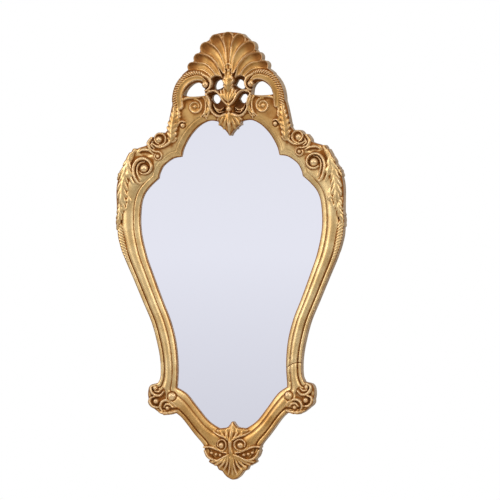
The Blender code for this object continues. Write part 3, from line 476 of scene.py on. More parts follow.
def moulding(r):
    """A bevel by the glass, a groove, a broad torus and an outer bead, with a flat ground in the crest."""
    a = -r.inside(sight_edge())
    b = r.inside(body_edge())
    level = np.minimum(a, b)
    share = np.clip((a + b) / FULL_FACE, NARROWEST_SHARE, 1)
    a, b = a / share, b / share
    high = ease((r.z - HIGH_LEVEL) / HIGH_SPAN)
    rise = np.clip((a - BEVEL_START) / BEVEL_WIDTH, 0, 1)
    bevel_rise = BEVEL_RISE + HIGH_BEVEL_RISE * high
    bevel = BEVEL_FOOT + bevel_rise * (0.5 * rise + 0.5 * np.sqrt(rise * (2 - rise)))
    groove = bump((a - GROOVE_PLACE) / GROOVE_WIDTH)
    crease = bump((b - CREASE_PLACE) / CREASE_WIDTH) * (1 - high)
    across = np.clip(2 * (a - 11) / np.maximum(a + b - 20, 1) - 1, -1, 1)
    torus = TORUS_FOOT + TORUS_RISE * (0.6 * np.sqrt(1 - across**2) + 0.4 * (1 - across**2))
    edge = EDGE_LEVEL + (GROUND_LEVEL - EDGE_LEVEL) * np.sqrt(np.clip(b / EDGE_ROUND, 0, 1))
    off = (b - BEAD_PLACE) / BEAD_HALF_WIDTH
    bead = EDGE_LEVEL - 1 + BEAD_RISE * np.sqrt(np.clip(1 - off**2, 0, 1))
    middle = torus * (1 - high) + GROUND_LEVEL * high
    outer = np.minimum(bead * (1 - high) + edge * high, BEAD_TOP)
    h = np.where(a < BEVEL_END, bevel, np.where(b < CREASE_PLACE, outer, middle))
    h = h - GROOVE_DEPTH * groove - CREASE_DEPTH * crease
    # The groove and the crease get painted shade along their floors
    r.add((slice(None), slice(None)), h, level, np.maximum(GROOVE_SHADE * groove, CREASE_SHADE * crease))


def shell(r):
    """The shell at the top: a straight flute on the axis and five that curve outwards."""
    spines = [
        "0,718 0,748 0,770 0,790",
        "4,735 7.4,755 13.5,773 22,785",
        "8,728 16,749 28,764 40,771",
        "14,716 25,736 38.5,749 54,753",
        "20,710 32.5,728 47,738.5 66,738",
        "28,710 38,723 53,731.5 68,730 80,722",
    ]
    widths = [[2.2, 3.2, 5.4, 9.5], [1.5, 4.2, 8, 10.8], [3.5, 7, 9.8, 11.4],
              [3, 5.8, 8.2, 9.6], [3, 5, 7.2, 9], [2, 3.2, 4.5, 5, 5]]
    r.palmette(spines, widths, [23.5, 21.5, 18, 16.5], [3, 5, 7.5, 7], groove=2.2, reach_out=1.12, dark=0.7)


def arches(r):
    """The arches over the large openings, with gadroons outside a plain band."""
    r.band("89.5,668 90,686 85,701 76,711.5 63,717.5 51,717.5 43,712", [6, 6.3, 6.3, 6, 5.5, 5, 3.5],
           [23, 24.5, 25.5, 26, 26.5, 26.5, 26], 4.5, hollow=0.7, edge=0.28)
    r.stroke("99.5,662 98.5,684 93.5,702 84,716 71,725.5 55,727 42,721 35.5,712",
             [4.6, 5.4, 5.6, 5.4, 5.2, 4.6, 3.8, 2.5], [23, 25.5, 27, 27.5, 27.5, 27.5, 26.5, 25], 5,
             power=0.6, ripple=lambda s, v: -3.2 * wave(s, v, 26, -0.6) ** 1.5)
    r.stroke("46,723 36.5,718 32,710 33.5,701 40,696", [2.6, 3.2, 3.2, 2.8, 1.8], 26.5, 5)
    r.dome((42.2, 706), 6.4, 29, 8, ring=2)
    r.stroke("33,693 39,695.5 47,694", [2, 2.6, 1.6], 25, 4)


def crest_scrolls(r):
    """The scroll and the rolled leaves under each large opening."""
    r.stroke("46,688 58,684 72,683.5 84,680 91,670 93,656", [2.4, 2.8, 2.8, 2.8, 2.6, 1.6], 22.5, 4)
    r.scroll((63, 667), 14, 6.5, 80, 1.35, False, [21.5, 21.5, 20.5], 17.4, 3.6, 20.5, rim=1.2, dark=0.65)
    for shift in (0, 4.2):
        curl = [(x - shift, z) for x, z in path("51,687 44.5,680 42.5,669 45,657 52,649")]
        r.stroke(curl, [1.2, 1.7, 1.7, 1.5, 0.8], 21.5, 3)
    r.stroke("42.5,690 36.5,680 35,668 38,655 43,647", [2.2, 2.8, 3, 2.4, 1.2], [25, 24.5, 24, 22, 19], 6)
    r.stroke("43,662 45,654 43,645", [1.6, 3, 0.8], [22, 22, 19], 4)


def hollows(r):
    """The sunk ground of the crest round its small openings."""
    r.sink("6,700 12,695 28,693 36,698 35,709 31,718 22,722 11,718 6,708", 10, 3.5)
    r.sink("5,670 12,684 22,693 35,693 40,682 38,668 31,655 19,650 7,654", 10, 3.5)


def finial(r):
    """The bud, the leaves and the crossed bands on the axis, down to the drop over the glass."""
    r.patch(even("7,720 8.5,732 6,741", "0,744.5", "0,716"), 20.5, 2, 3, 0.9)
    r.stroke(even("6,721 7,733 4.5,740", "0,742.5"), [1.2, 1.4, 1.5, 1.6, 1.5, 1.4, 1.2], 25, 4)
    r.dome((0, 730.5), 3, 26, 6)
    r.acanthus("0,694 0,704 0,716 0,727", [6.5, 10.5, 11.5, 4], [26, 29, 29, 24.5], 5.5, 3.4, notch=0.12,
               lean=0.9, ruffle=1.3, rib=1.2)
    r.patch(even("4,673 11,681 15.5,692 11,698", "0,702"), 22.5, 4, 3, 0.5)
    for points, width in (("0,676 0,689 0,701", (2.8, 3.4, 1.4)), ("2,677 6,688 8.5,699", (2.4, 3.2, 1.4)),
                          ("4,678 10.5,686 15,696", (2.2, 3, 1.2))):
        r.stroke(points, width, [27, 26.5, 25], 4)
    r.stroke("40,690 33,694.5 24,694 16.5,687.5 10.5,677.5 2,669", [1.8, 2.2, 2.5, 2.6, 2.6, 2.4],
             [24.5, 25, 26, 26.5, 26.5, 26], 6)
    r.stroke("41,689 40.5,680 36.5,668 30,656 20,649.5 8,650", [1.8, 2.2, 2.4, 2.5, 2.4, 2],
             [24.5, 24, 23.5, 23.5, 23.5, 24], 6)
    r.stroke("30,671 26,663.5 18,660 11,664", [1, 1.8, 1.9, 1.2], 17.5, 5)
    r.stroke("27,662 20,656 11,657", [1, 1.6, 1.2], 17.5, 4)
    r.dome((0, 661.5), 5.2, 27, 7)
    r.stroke("0,667 0,676", [3, 2.2], 25, 5)
    r.patch(even("6,656 16,650 21,642 18,633 10,626 4,619", "0,614"), 19.5, 5, 4, 0.55)
    for points, width, top in (("5,653 13,650 22,643", (2.6, 3.2, 1.8), (22.5, 22.5, 19)),
                               ("4,652 12,644 18.5,634", (2.6, 3.4, 1.8), (23.5, 23, 19)),
                               ("2,651 7,638 10.5,627", (2.8, 3.6, 1.8), (24, 23.5, 19)),
                               ("0,654 0,636 0,616", (3, 3.8, 1.4), (25, 25, 20))):
        r.stroke(points, width, top, 4)


def shoulder(r):
    """The scrolls, curls and leaves of the shoulder, down the frame's outside."""
    r.acanthus("106,612 105,630 101.5,650 100,668", [9, 10, 8, 4], [23.5, 24.5, 24, 22], 5, 6, lean=0.9)
    r.acanthus("95,640 93,652 95,666", [3.5, 4.5, 2.5], [22, 22.5, 21], 4, 4)
    r.dome((86, 634), 4.4, 23, 5, ring=1.6)
    r.stroke("82,640 89,641 96.5,633 102,620 108.5,607 120,598.5 133,597.5 143,603",
             [1.5, 2.2, 2.5, 2.7, 2.7, 2.6, 2.4, 1.6], 22.5, 4.5)
    r.scroll((128, 610.5), 11.6, 8.6, 280, 1, True, [22.5, 24.5, 24.5], 16.5, 5, 24, rim=2, dark=0.5)
    r.dome((129.8, 609.2), 6.4, 26.5, 9)
    r.stroke("144,612 149.5,603 146,593 136,589.5", [2.6, 3.2, 3.2, 1.6], [22, 23, 23, 21], 6)
    r.stroke("141,606 144,600 139,594.5", [1.4, 2, 1.4], 23, 5)
    r.sink("140,591 152,594 166,591 168,584 154,580 143,583", 15, 4, 0.45)
    r.stroke("142,586 150,591 161,591.5 168,588", [1.4, 2.6, 2.4, 1.2], [21, 22, 22, 20], 6)
    r.scroll((132.8, 582), 8, 5.2, 60, 0.95, False, [21.5, 22.5, 22], 16.5, 3.8, 24, rim=1.6, dark=0.8)
    r.acanthus("183,584 187.5,566 185,548 179,531", [4, 6.5, 7.5, 3], [23, 24.5, 25, 22], 6, 3.4,
               notch=0.22, lean=0.5, ruffle=1.8)
    r.sink("165,556 159,553 149,556 146.5,563 150,572 159,577 169,574 175,565 173,556", 16, 4, 0.45)
    r.stroke("166.5,554.5 159,551.5 150,554 145,562 148.5,572.5 158.5,578 169.5,575.5 176.5,566 178,555 "
             "175.5,543 170,533.5 165,531.5", [1.6, 2.2, 2.4, 2.4, 2.4, 2.6, 2.8, 2.8, 3, 3, 3, 1.8],
             [23, 24, 24.5, 25, 25.5, 26, 26, 26, 26, 26, 25, 22.5], 7)
    r.stroke("157,573.2 165,571.5 170.5,565 171.5,556 169,546 165,539", [1, 1.5, 1.8, 1.8, 1.6, 1],
             [21, 22.5, 23, 23, 23, 21.5], 5)
    r.dome((158.5, 561.5), 7.6, 28, 11)
    r.acanthus("176,591 187,572 195,550 200,528", [3.5, 6.5, 8.5, 4], [20.5, 22.5, 24.5, 22], 5, 4.5,
               notch=0.28, lean=1, ruffle=1.8)
    r.acanthus("190,552 197,533 199,508 197,488", [4, 10, 10.5, 5], [23, 25.5, 25.5, 23], 5, 4.5,
               notch=0.28, lean=1.2, ruffle=2)
    r.acanthus("198,556 203,548 208.5,539", [3.5, 4.5, 1.5], [19, 20.5, 17], 5, 3)
    r.acanthus("188,516 187,502 192,486", [4, 6, 2], [22, 23.5, 21], 5, 3, lean=0.8)
    r.stroke("187,500 190,489 197,485 203,490 202,500", [1.4, 2.2, 2.4, 2.2, 1.2], 23, 5)
    r.acanthus("203,500 203.5,480 207.5,462 210,450", [5, 7, 6, 1.8], [21, 23.5, 22, 18], 5.5, 5, lean=1.1)
    r.stroke("204,456 203,438 196,408 188,388", [5.5, 6, 5, 3], [19.5, 20.5, 20.5, 19], 4.5,
             ripple=lambda s, v: -1.6 * wave(s, v, 13, 0.8))


def corner(r):
    """The ball and the small scrolls where the side meets the foot."""
    r.sink("121,163 130,169 144,168 150,156 147,136 136,126 116,125 106,132 118,142 118,152", 17.5, 3, 0.2)
    r.stroke("124,158 131,151.5 140,152 147,158 147.5,167 139,171", [1.6, 2.6, 3, 3, 2.6, 1.6],
             [23, 24, 24.5, 24.5, 23.5, 22], 7)
    r.stroke("129,163 134,158 141,159", [1.2, 2.2, 1.6], 22.5, 6)
    r.dome((140.5, 164.5), 4.2, 25, 8)
    r.stroke("141,149.5 149,146 150,138 144,131.5 135,130.5", [1.6, 2.6, 3, 2.8, 1.6],
             [23, 24.5, 24.5, 24, 22.5], 7)
    r.dome((139, 141), 5.2, 26, 9)
    r.stroke("102,131 108,138.5 118,142.5 127.5,140 131.5,131 128,122.5", [1.6, 2.4, 2.8, 3, 2.8, 1.8],
             [22, 23.5, 24.5, 24.5, 23.5, 21], 7)
    r.stroke("108,129.5 113,134.5 120,135.5 124.5,130", [1.4, 2.2, 2.4, 1.6], [21, 23, 23, 21], 6)
    r.dome((118, 128.5), 4, 24, 8)
    r.acanthus("101,123.5 112,120.5 124,119.5 135,122.5", [2, 3.4, 3.6, 1.5], [20, 21.5, 22, 20], 5, 4)
    r.dome((108.7, 148.8), 7.4, 27, 9, ring=2.4)


def bracket(r):
    """The foot: two scrolls, a low fan over them, beads, and a leaf that hangs from them."""
    r.patch(even("31,89 20,92 10,93.5 5,98", "0,104", "26,80 12,76 0,66 -12,76 -26,80"), 18.5, 6, 5, 0.3)
    for points, width in (("0,66 0,84 0,101", (3, 4, 1.6)), ("3,69 9,80 9.5,92", (1.8, 2.8, 1.4)),
                          ("6,71 17,80 21,90", (1.8, 2.8, 1.4)), ("8,74 24,80 35,86", (1.6, 2.4, 1.2))):
        r.stroke(points, width, [24, 22.5, 18], 4)
    for side in (-1, 1):
        ground = path("48,54 36,56 22,53 9,50 7,44 14,38 28,35.5 41,40")
        r.sink([(side * x, z) for x, z in ground], 17, 3, 0.35)
    r.stroke("51,58.5 40,58.5 28,54.5 18,50 8,47.5", [2, 2.2, 2.4, 2.4, 1.8], 24, 6)
    r.stroke("50,52 45,42 34,35.5 21,36 8,45", [2.2, 2.6, 2.6, 2.4, 1.6], 22.5, 6)
    for centre in path("38,48 30,45.5 22,44"):
        r.dome(centre, 3.2, 22.5, 6)
    r.scroll((17.6, 62.5), 12.6, 7.4, 20, 1.15, True, [21.5, 25.5, 25.5], 18.5, 5, 24, rim=2, dark=0.3)
    r.dome((17.8, 61), 6, 27, 8)
    r.stroke("0,48 0,57 0,66", [4.5, 3, 4], 25.5, 5)
    r.patch(even("40,36 44,32 36,27 30,25 26,18 17,14 12,6", "0,0", "20,38 8,46 0,52 -8,46 -20,38"), 17.5,
            4, 4, 0.35)
    r.stroke("0,51 0,28 0,9.5", [4, 6, 9], [25, 22.5, 18.5], 5)
    for points, width in (("0,46 0,30 0,9", (2, 2.4, 2)), ("2.5,40 4,24 8,9", (1.4, 2.2, 1.8)),
                          ("5,44 9,29 16,17", (1.8, 2.8, 2.4)), ("7,44 14,32 24,22", (1.8, 2.8, 2.4)),
                          ("9,43 20,33 32,27", (1.8, 2.8, 2.2)), ("12,42 27,34 39,31.5", (1.8, 2.6, 2))):
        r.stroke(points, width, [24.5, 24.5, 20], 5)


def openings(r):
    """The places where the crest is pierced."""
    r.pierce("42.5,686.5 60,685 80,686 82.5,690.5 76,701 65,709 53,709 45,700")
    r.pierce("10,704 16,699 26,697 28,704 24,712 16,714")
    r.pierce("17,680 21,673 28,672.5 33,680 31,687 23,687.5")


def build_relief(step, round_off):
    """The whole half relief, on a grid with that step."""
    r = Relief(HALF_WIDTH, -MARGIN_BELOW, DESIGN_HEIGHT + MARGIN_ABOVE, step)
    moulding(r)
    shell(r)
    hollows(r)
    arches(r)
    crest_scrolls(r)
    finial(r)
    shoulder(r)
    corner(r)
    bracket(r)
    openings(r)
    r.soften(round_off)
    return r


def world_x(x, z):
    """Where a design point lies across the wall: the left is wider, and the foot leans to the left."""
    return (np.where(x < 0, LEFT_SHARE, 1.0) * x - LEAN * ease((LEAN_TOP - z) / LEAN_SPAN)) * UNIT


def world_z(z):
    """The height in metres of a design height."""
    return (z - HANGER_LEVEL) * UNIT


def front(level):
    """Where a height of the relief lies in front of the wall."""
    return -(REBATE_DEPTH + LIP_THICKNESS + (level - LIP_LEVEL) * RELIEF * UNIT)


def front_surface(relief):
    """Vertices and faces of the carved face, both halves, open along its edges."""
    least = 0.15 * relief.step
    level = np.where(np.abs(relief.level) < least, least * np.sign(relief.level + 1e-9), relief.level)
    inside = level > 0
    rows, columns = level.shape
    points, number, polygons = [], {}, []

    def vertex(key, x, z, height):
        if key not in number:
            number[key] = len(points)
            points.append((x, z, height))
        return number[key]

    def crossing(a, b):
        a, b = min(a, b), max(a, b)
        share = level[a] / (level[a] - level[b])
        x = relief.xs[a[1]] + share * (relief.xs[b[1]] - relief.xs[a[1]])
        z = relief.zs[a[0]] + share * (relief.zs[b[0]] - relief.zs[a[0]])
        return vertex((a, b), x, z, relief.height[a if inside[a] else b])

    some = inside[:-1, :-1] | inside[1:, :-1] | inside[:-1, 1:] | inside[1:, 1:]
    for j, i in zip(*np.nonzero(some)):
        corners = [(j, i), (j, i + 1), (j + 1, i + 1), (j + 1, i)]
        polygon = []
        for c, d in zip(corners, corners[1:] + corners[:1]):
            if inside[c]:
                polygon.append(vertex(c, relief.xs[c[1]], relief.zs[c[0]], relief.height[c]))
            if inside[c] != inside[d]:
                polygon.append(crossing(c, d))
        polygons.append(polygon)
    p = np.array(points)
    n = len(p)
    mirrored = np.where(p[:, 0] < 1e-6, np.arange(n), np.arange(n) + n)
    both = np.vstack([p, p * [-1, 1, 1]])
    faces = polygons + [[int(mirrored[v]) for v in reversed(f)] for f in polygons]
    return both, faces


def add_object(name, vertices, faces, *materials):
    """A new mesh object in the scene."""
    mesh = bpy.data.meshes.new(name)
    mesh.from_pydata([tuple(v) for v in vertices], [], faces)
    mesh.validate()
    mesh.update()
    obj = bpy.data.objects.new(name, mesh)
    bpy.context.scene.collection.objects.link(obj)
    for material in materials:
        mesh.materials.append(material)
    return obj


def rework(mesh, *changes):
    """Changes a mesh by functions of its bmesh, and splits its faces into triangles."""
    bm = bmesh.new()
    bm.from_mesh(mesh)
    for change in changes:
        change(bm)
    bmesh.ops.triangulate(bm, faces=bm.faces)
    bm.to_mesh(mesh)
    bm.free()


def boundary_loops(bm):
    """Closed loops of vertices along the open edges."""
    after = {}
    for edge in bm.edges:
        if edge.is_boundary:
            corner = edge.link_loops[0]
            after[corner.vert] = corner.link_loop_next.vert
    loops = []
    while after:
        loop = []
        v = next(iter(after))
        while v in after:
            loop.append(v)
            v = after.pop(v)
        loops.append(loop)
    return loops


def skirt(bm, loop, y, material):
    """Walls from a loop of vertices to a copy of it at depth y. Returns the copy."""
    low = [bm.verts.new((v.co.x, y, v.co.z)) for v in loop]
    n = len(loop)
    for k in range(n):
        m = (k + 1) % n
        face = bm.faces.new((loop[m], loop[k], low[k], low[m]))
        face.material_index = material
    return low


def loop_at(bm, outline, y):
    """New vertices along an outline, at depth y."""
    return [bm.verts.new((x, y, z)) for x, z in outline]


def fill(bm, loops, material):
    """A flat face that lies between closed loops of vertices."""
    edges = []
    for loop in loops:
        for a, b in zip(loop, loop[1:] + loop[:1]):
            edges.append(bm.edges.get((a, b)) or bm.edges.new((a, b)))
    made = bmesh.ops.triangle_fill(bm, use_beauty=False, use_dissolve=False, edges=edges, normal=(0, 1, 0))
    for item in made["geom"]:
        if isinstance(item, bmesh.types.BMFace):
            item.material_index = material


def offset_edge(margin):
    """The sight edge moved outwards by a margin in metres, as half a loop from the axis to the axis."""
    edge = sight_edge()
    tangent = np.gradient(edge, axis=0)
    tangent /= np.linalg.norm(tangent, axis=1)[:, None]
    outward = np.column_stack([-tangent[:, 1], tangent[:, 0]])
    m = margin / UNIT
    moved = edge + m * outward
    apart = np.linalg.norm(moved[:, None] - edge[None], axis=2).min(1)
    moved = moved[(apart > 0.97 * m) & (moved[:, 0] > 1)]
    step = np.linalg.norm(np.diff(moved, axis=0), axis=1)
    keep = [0]
    for k in range(1, len(moved)):
        if step[keep[-1]:k].sum() > CORNER_STEP / UNIT:
            keep.append(k)
    moved = moved[keep]
    top, bottom = moved[0][1], moved[-1][1]
    return np.vstack([[0, top], moved, [0, bottom]])


def both_halves(half):
    """The whole closed loop, in metres, from a half loop that runs from the axis to the axis."""
    right = [(float(world_x(x, z)), world_z(z)) for x, z in half]
    left = [(float(world_x(-x, z)), world_z(z)) for x, z in half[-2:0:-1]]
    return (right + left)[::-1]


def grown(loop, by):
    """A counter-clockwise loop with each side moved outwards by the same distance."""
    p = np.array(loop)
    along_side = np.roll(p, -1, axis=0) - p
    along_side /= np.linalg.norm(along_side, axis=1)[:, None]
    after = np.column_stack([along_side[:, 1], -along_side[:, 0]])
    before = np.roll(after, 1, axis=0)
    miter = (before + after) / (1 + (before * after).sum(1))[:, None]
    return [tuple(point) for point in p + by * miter]


def circle(x, z, radius, sides):
    """The corners of a regular polygon."""
    turns = [math.tau * k / sides for k in range(sides)]
    return [(x + radius * math.cos(t), z + radius * math.sin(t)) for t in turns]


def close_back(bm):
    """Adds the edges, the rebates, and the back with its pockets."""
    loops = boundary_loops(bm)
    spans = [max(v.co.z for v in loop) - min(v.co.z for v in loop) for loop in loops]
    outer, sight, *pierced = (loops[k] for k in np.argsort(spans)[::-1])
    back = [skirt(bm, loop, 0.0, SIDE) for loop in (outer, *pierced)]
    roof = skirt(bm, sight, -REBATE_DEPTH, SIDE)
    board_back = -2 * GAP - BOARD_THICKNESS
    glass_rebate = grown(both_halves(offset_edge(GLASS_MARGIN)), GAP)
    board_rebate = grown(both_halves(offset_edge(BOARD_MARGIN)), GAP)
    glass_high = loop_at(bm, glass_rebate, -REBATE_DEPTH)
    fill(bm, [roof, glass_high], RAW)
    glass_low = skirt(bm, glass_high, board_back, RAW)
    board_high = loop_at(bm, board_rebate, board_back)
    holes = []
    for name in BOARD_SCREWS:
        low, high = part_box(name)
        middle = (low + high) / 2
        hole = circle(middle.x, middle.z, SCREW_HOLE_RADIUS, SCREW_HOLE_SIDES)
        holes.append(loop_at(bm, hole, board_back))
    fill(bm, [glass_low, board_high, *holes], RAW)
    for hole in holes:
        fill(bm, [skirt(bm, hole, -SCREW_HOLE_DEPTH, RAW)], RAW)
    back.append(skirt(bm, board_high, 0.0, RAW))
    low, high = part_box("hanger_plate")
    plate = [(low.x, low.z), (high.x, low.z), (high.x, high.z), (low.x, high.z)]
    recess = loop_at(bm, grown(plate, GAP), 0.0)
    back.append(recess)
    floor = skirt(bm, recess, low.y - GAP, RAW)
    middle = (low.z + high.z) / 2
    pocket = loop_at(bm, circle(0.0, middle, NAIL_POCKET_RADIUS, NAIL_POCKET_SIDES), low.y - GAP)
    fill(bm, [floor, pocket], RAW)
    fill(bm, [skirt(bm, pocket, -NAIL_POCKET_DEPTH, RAW)], RAW)
    fill(bm, back, RAW)
    bmesh.ops.recalc_face_normals(bm, faces=bm.faces)


def sample(relief, grid, x, z):
    """A grid's value at design points, the same on both sides of the axis."""
    i = np.clip(np.abs(x) / relief.step, 0, grid.shape[1] - 1.001)
    j = np.clip((z - relief.zs[0]) / relief.step, 0, grid.shape[0] - 1.001)
    i0, j0 = i.astype(int), j.astype(int)
    u, v = i - i0, j - j0
    low = grid[j0, i0] * (1 - u) + grid[j0, i0 + 1] * u
    high = grid[j0 + 1, i0] * (1 - u) + grid[j0 + 1, i0 + 1] * u
    return low * (1 - v) + high * v


def make_carving(materials):
    """The gilded frame, worn, thinned out and closed at the back."""
    relief = build_relief(GRID_STEP, ROUND_OFF)
    mask = relief.level > 0
    points, faces = front_surface(relief)
    x, z = displaced(points[:, 0], points[:, 1])
    heights = points[:, 2] - DAMAGE_DEPTH * damage(points[:, 0], points[:, 1])
    vertices = np.column_stack([world_x(x, z), front(heights), world_z(z)])
    used = np.unique(np.concatenate([np.array(f) for f in faces]))
    place = np.full(len(points), -1)
    place[used] = np.arange(len(used))
    faces = [[int(place[v]) for v in f] for f in faces]
    obj = add_object("gilded_frame", vertices[used], faces, *materials)
    rework(obj.data)
    thin = obj.modifiers.new("thin", "DECIMATE")
    thin.ratio = min(1.0, FRONT_TRIANGLES / len(obj.data.polygons))
    graph = bpy.context.evaluated_depsgraph_get()
    mesh = bpy.data.meshes.new_from_object(obj.evaluated_get(graph))
    obj.modifiers.clear()
    obj.data = mesh
    rework(mesh, close_back)
    co = np.zeros(len(mesh.vertices) * 3)
    mesh.vertices.foreach_get("co", co)
    co = co.reshape(-1, 3)
    x, z = design_place(co[:, 0] / UNIT, co[:, 2] / UNIT + HANGER_LEVEL)
    for name, radius in HOLLOW_RADII:
        soft = blurred(relief.height, mask, max(1, int((radius / relief.step) ** 2)))
        add_layer(mesh, name, sample(relief, np.where(mask, relief.height - soft, 0), x, z))
    # The relief's painted shade and patina, with the darkening of the crack and the pits
    add_layer(mesh, "stain_and_shade", np.maximum(sample(relief, relief.stain_and_shade, x, z), DAMAGE_STAIN * damage(x, z)))
    mesh.shade_smooth()
    mesh.set_sharp_from_angle(angle=SHARP_ANGLE)
    return obj


def add_layer(mesh, name, values):
    """A number for each vertex, for the materials to read."""
    layer = mesh.attributes.new(name, "FLOAT", "POINT")
    layer.data.foreach_set("value", values.astype(np.float32))


def displaced(x, z):
    """Design points moved by the strays of the carver's hand."""
    moved_x, moved_z = x.copy(), z.copy()
    for centre_x, centre_z, across, up, radius in STRAYS:
        share = bump(np.hypot(x - centre_x, z - centre_z) / radius)
        moved_x += across * share
        moved_z += up * share
    return moved_x, moved_z


def design_place(x, z):
    """The even design's point for a place on the wall, both in design units."""
    lean = LEAN * ease((LEAN_TOP - z) / LEAN_SPAN)
    x = x + lean
    x = x / np.where(x < 0, LEFT_SHARE, 1.0)
    first_x, first_z = x, z
    for _ in range(3):
        moved_x, moved_z = displaced(first_x, first_z)
        first_x, first_z = first_x + x - moved_x, first_z + z - moved_z
    return first_x, first_z


def damage(x, z):
    """How deep the crack and the pits go at design points, from 0 to 1."""
    share = np.clip((x - CRACK[0][0]) / (CRACK[1][0] - CRACK[0][0]), 0, 1)
    level = CRACK[0][1] + share * (CRACK[1][1] - CRACK[0][1]) + CRACK_BEND * np.sin(math.pi * share)
    reach = (x > CRACK[0][0]) & (x < CRACK[1][0])
    deep = bump((z - level) / CRACK_WIDTH) * reach
    for centre_x, centre_z, radius in PITS:
        deep = np.maximum(deep, bump(np.hypot(x - centre_x, PIT_STRETCH * (z - centre_z)) / radius))
    return deep


class Graph:
    """Short ways to add nodes to a material or a world."""

    def __init__(self, owner):
        owner.use_nodes = True
        self.owner = owner
        self.nodes, self.links = owner.node_tree.nodes, owner.node_tree.links

    def add(self, kind, **values):
        node = self.nodes.new("ShaderNode" + kind)
        for key, value in values.items():
            setattr(node, key, value)
        return node

    def feed(self, node, **inputs):
        """Sets each input by its name, with _ for a space, or by _ and its number."""
        for key, value in inputs.items():
            socket = node.inputs[int(key[1:])] if key[1:].isdigit() else node.inputs[key.replace("_", " ")]
            if isinstance(value, bpy.types.NodeSocket):
                self.links.new(value, socket)
            else:
                socket.default_value = value
        return node

    def shade(self, **inputs):
        """Feeds the material's own shader, and returns the material."""
        self.feed(self.nodes["Principled BSDF"], **inputs)
        return self.owner

    def place(self, kind="Object"):
        return self.add("TexCoord").outputs[kind]

    def height(self, kind="Object"):
        return self.feed(self.add("SeparateXYZ"), Vector=self.place(kind)).outputs["Z"]

    def stretched(self, *scale):
        return self.feed(self.add("Mapping"), Vector=self.place(), Scale=scale).outputs["Vector"]

    def noise(self, scale, detail=4.0, rough=0.6, vector=None, distortion=0.0):
        node = self.add("TexNoise")
        self.feed(node, Scale=scale, Detail=detail, Roughness=rough, Distortion=distortion)
        return self.feed(node, Vector=vector or self.place()).outputs["Fac"]

    def ramp(self, value, low, high, to_low=0.0, to_high=1.0):
        node = self.add("MapRange", interpolation_type="SMOOTHSTEP")
        limits = dict(From_Min=low, From_Max=high, To_Min=to_low, To_Max=to_high)
        return self.feed(node, Value=value, **limits).outputs["Result"]

    def math(self, operation, a, b):
        return self.feed(self.add("Math", operation=operation), _0=a, _1=b).outputs[0]

    def mix(self, share, a, b):
        return self.feed(self.add("Mix", data_type="RGBA"), _0=share, _6=a, _7=b).outputs[2]

    def bump(self, height, strength, distance, normal=None):
        node = self.feed(self.add("Bump"), Height=height, Strength=strength, Distance=distance)
        if normal:
            self.feed(node, Normal=normal)
        return node.outputs["Normal"]

    def attribute(self, name):
        return self.add("Attribute", attribute_name=name).outputs["Fac"]


def colour(red, green, blue):
    """A colour from 0 to 255 values as they look on a screen."""
    def linear(value):
        v = value / 255
        return v / 12.92 if v <= 0.04045 else ((v + 0.055) / 1.055) ** 2.4
    return (linear(red), linear(green), linear(blue), 1.0)


def paint(name):
    """A new material, ready for its nodes."""
    return Graph(bpy.data.materials.new(name))


def gilding():
    """Gold leaf over the face, with brown patina and painted shade in its hollows, and a painted highlight,
    partly gilding worn bright, on its ridges.
    """
    g = paint("gilding")
    mottle = g.noise(38.0, 5.0)
    fine = g.noise(420.0)
    spread = g.math("SUBTRACT", mottle, 0.5)
    depth = g.math("ADD", g.attribute("hollow"), g.math("MULTIPLY", g.attribute("broad_hollow"), 0.15))
    depth = g.math("ADD", depth, g.math("MULTIPLY", spread, 0.7))
    stain_and_shade = g.math("ADD", g.attribute("stain_and_shade"), g.math("MULTIPLY", spread, 0.5))
    # Patina in the hollows and the relief's painted shade turn the gold brown
    shade_and_patina = g.math("MAXIMUM", g.ramp(depth, -0.05, -0.85), g.ramp(stain_and_shade, 0.08, 0.9))
    # A painted highlight on the ridges, partly gilding worn bright there
    ridge = g.ramp(depth, 0.2, 1.2, 0.0, 0.6)
    height = g.height()
    rich = g.math("MAXIMUM", g.ramp(height, *CREST_HEIGHTS), g.ramp(height, *FOOT_HEIGHTS))
    patches = g.ramp(mottle, 0.35, 0.65)
    pale, deep = (g.mix(patches, colour(*low), colour(*high)) for low, high in (PALE_GOLD, DEEP_GOLD))
    gold = g.mix(rich, pale, deep)
    gold = g.mix(ridge, gold, colour(*RIDGE_HIGHLIGHT_GOLD))
    gold = g.mix(shade_and_patina, gold, colour(*PATINA_AND_SHADE))
    # The darkest brown where the painted shade and patina are strongest
    gold = g.mix(g.math("MULTIPLY", shade_and_patina, g.ramp(stain_and_shade, 0.5, 1.0)), gold, colour(*DARK_PATINA_AND_SHADE))
    grain = g.math("MULTIPLY", g.math("SUBTRACT", fine, 0.5), 0.16)
    rough = g.math("ADD", g.ramp(shade_and_patina, 0.0, 1.0, 0.41, 0.62), grain)
    bumps = g.bump(mottle, 0.2, 0.001, g.bump(fine, 0.25, 0.0004))
    return g.shade(Base_Color=gold, Metallic=0.75, Roughness=rough, Normal=bumps)


def side_gilding():
    """The thin, dull gilding of the outer edge."""
    g = paint("side_gilding")
    mottle = g.noise(60.0, 6.0, 0.65)
    fine = g.noise(500.0)
    tone = g.mix(g.ramp(mottle, 0.3, 0.7), colour(150, 124, 96), colour(182, 156, 124))
    bumps = g.bump(mottle, 0.35, 0.002, g.bump(fine, 0.35, 0.0004))
    return g.shade(Base_Color=tone, Metallic=0.25, Roughness=0.6, Normal=bumps)


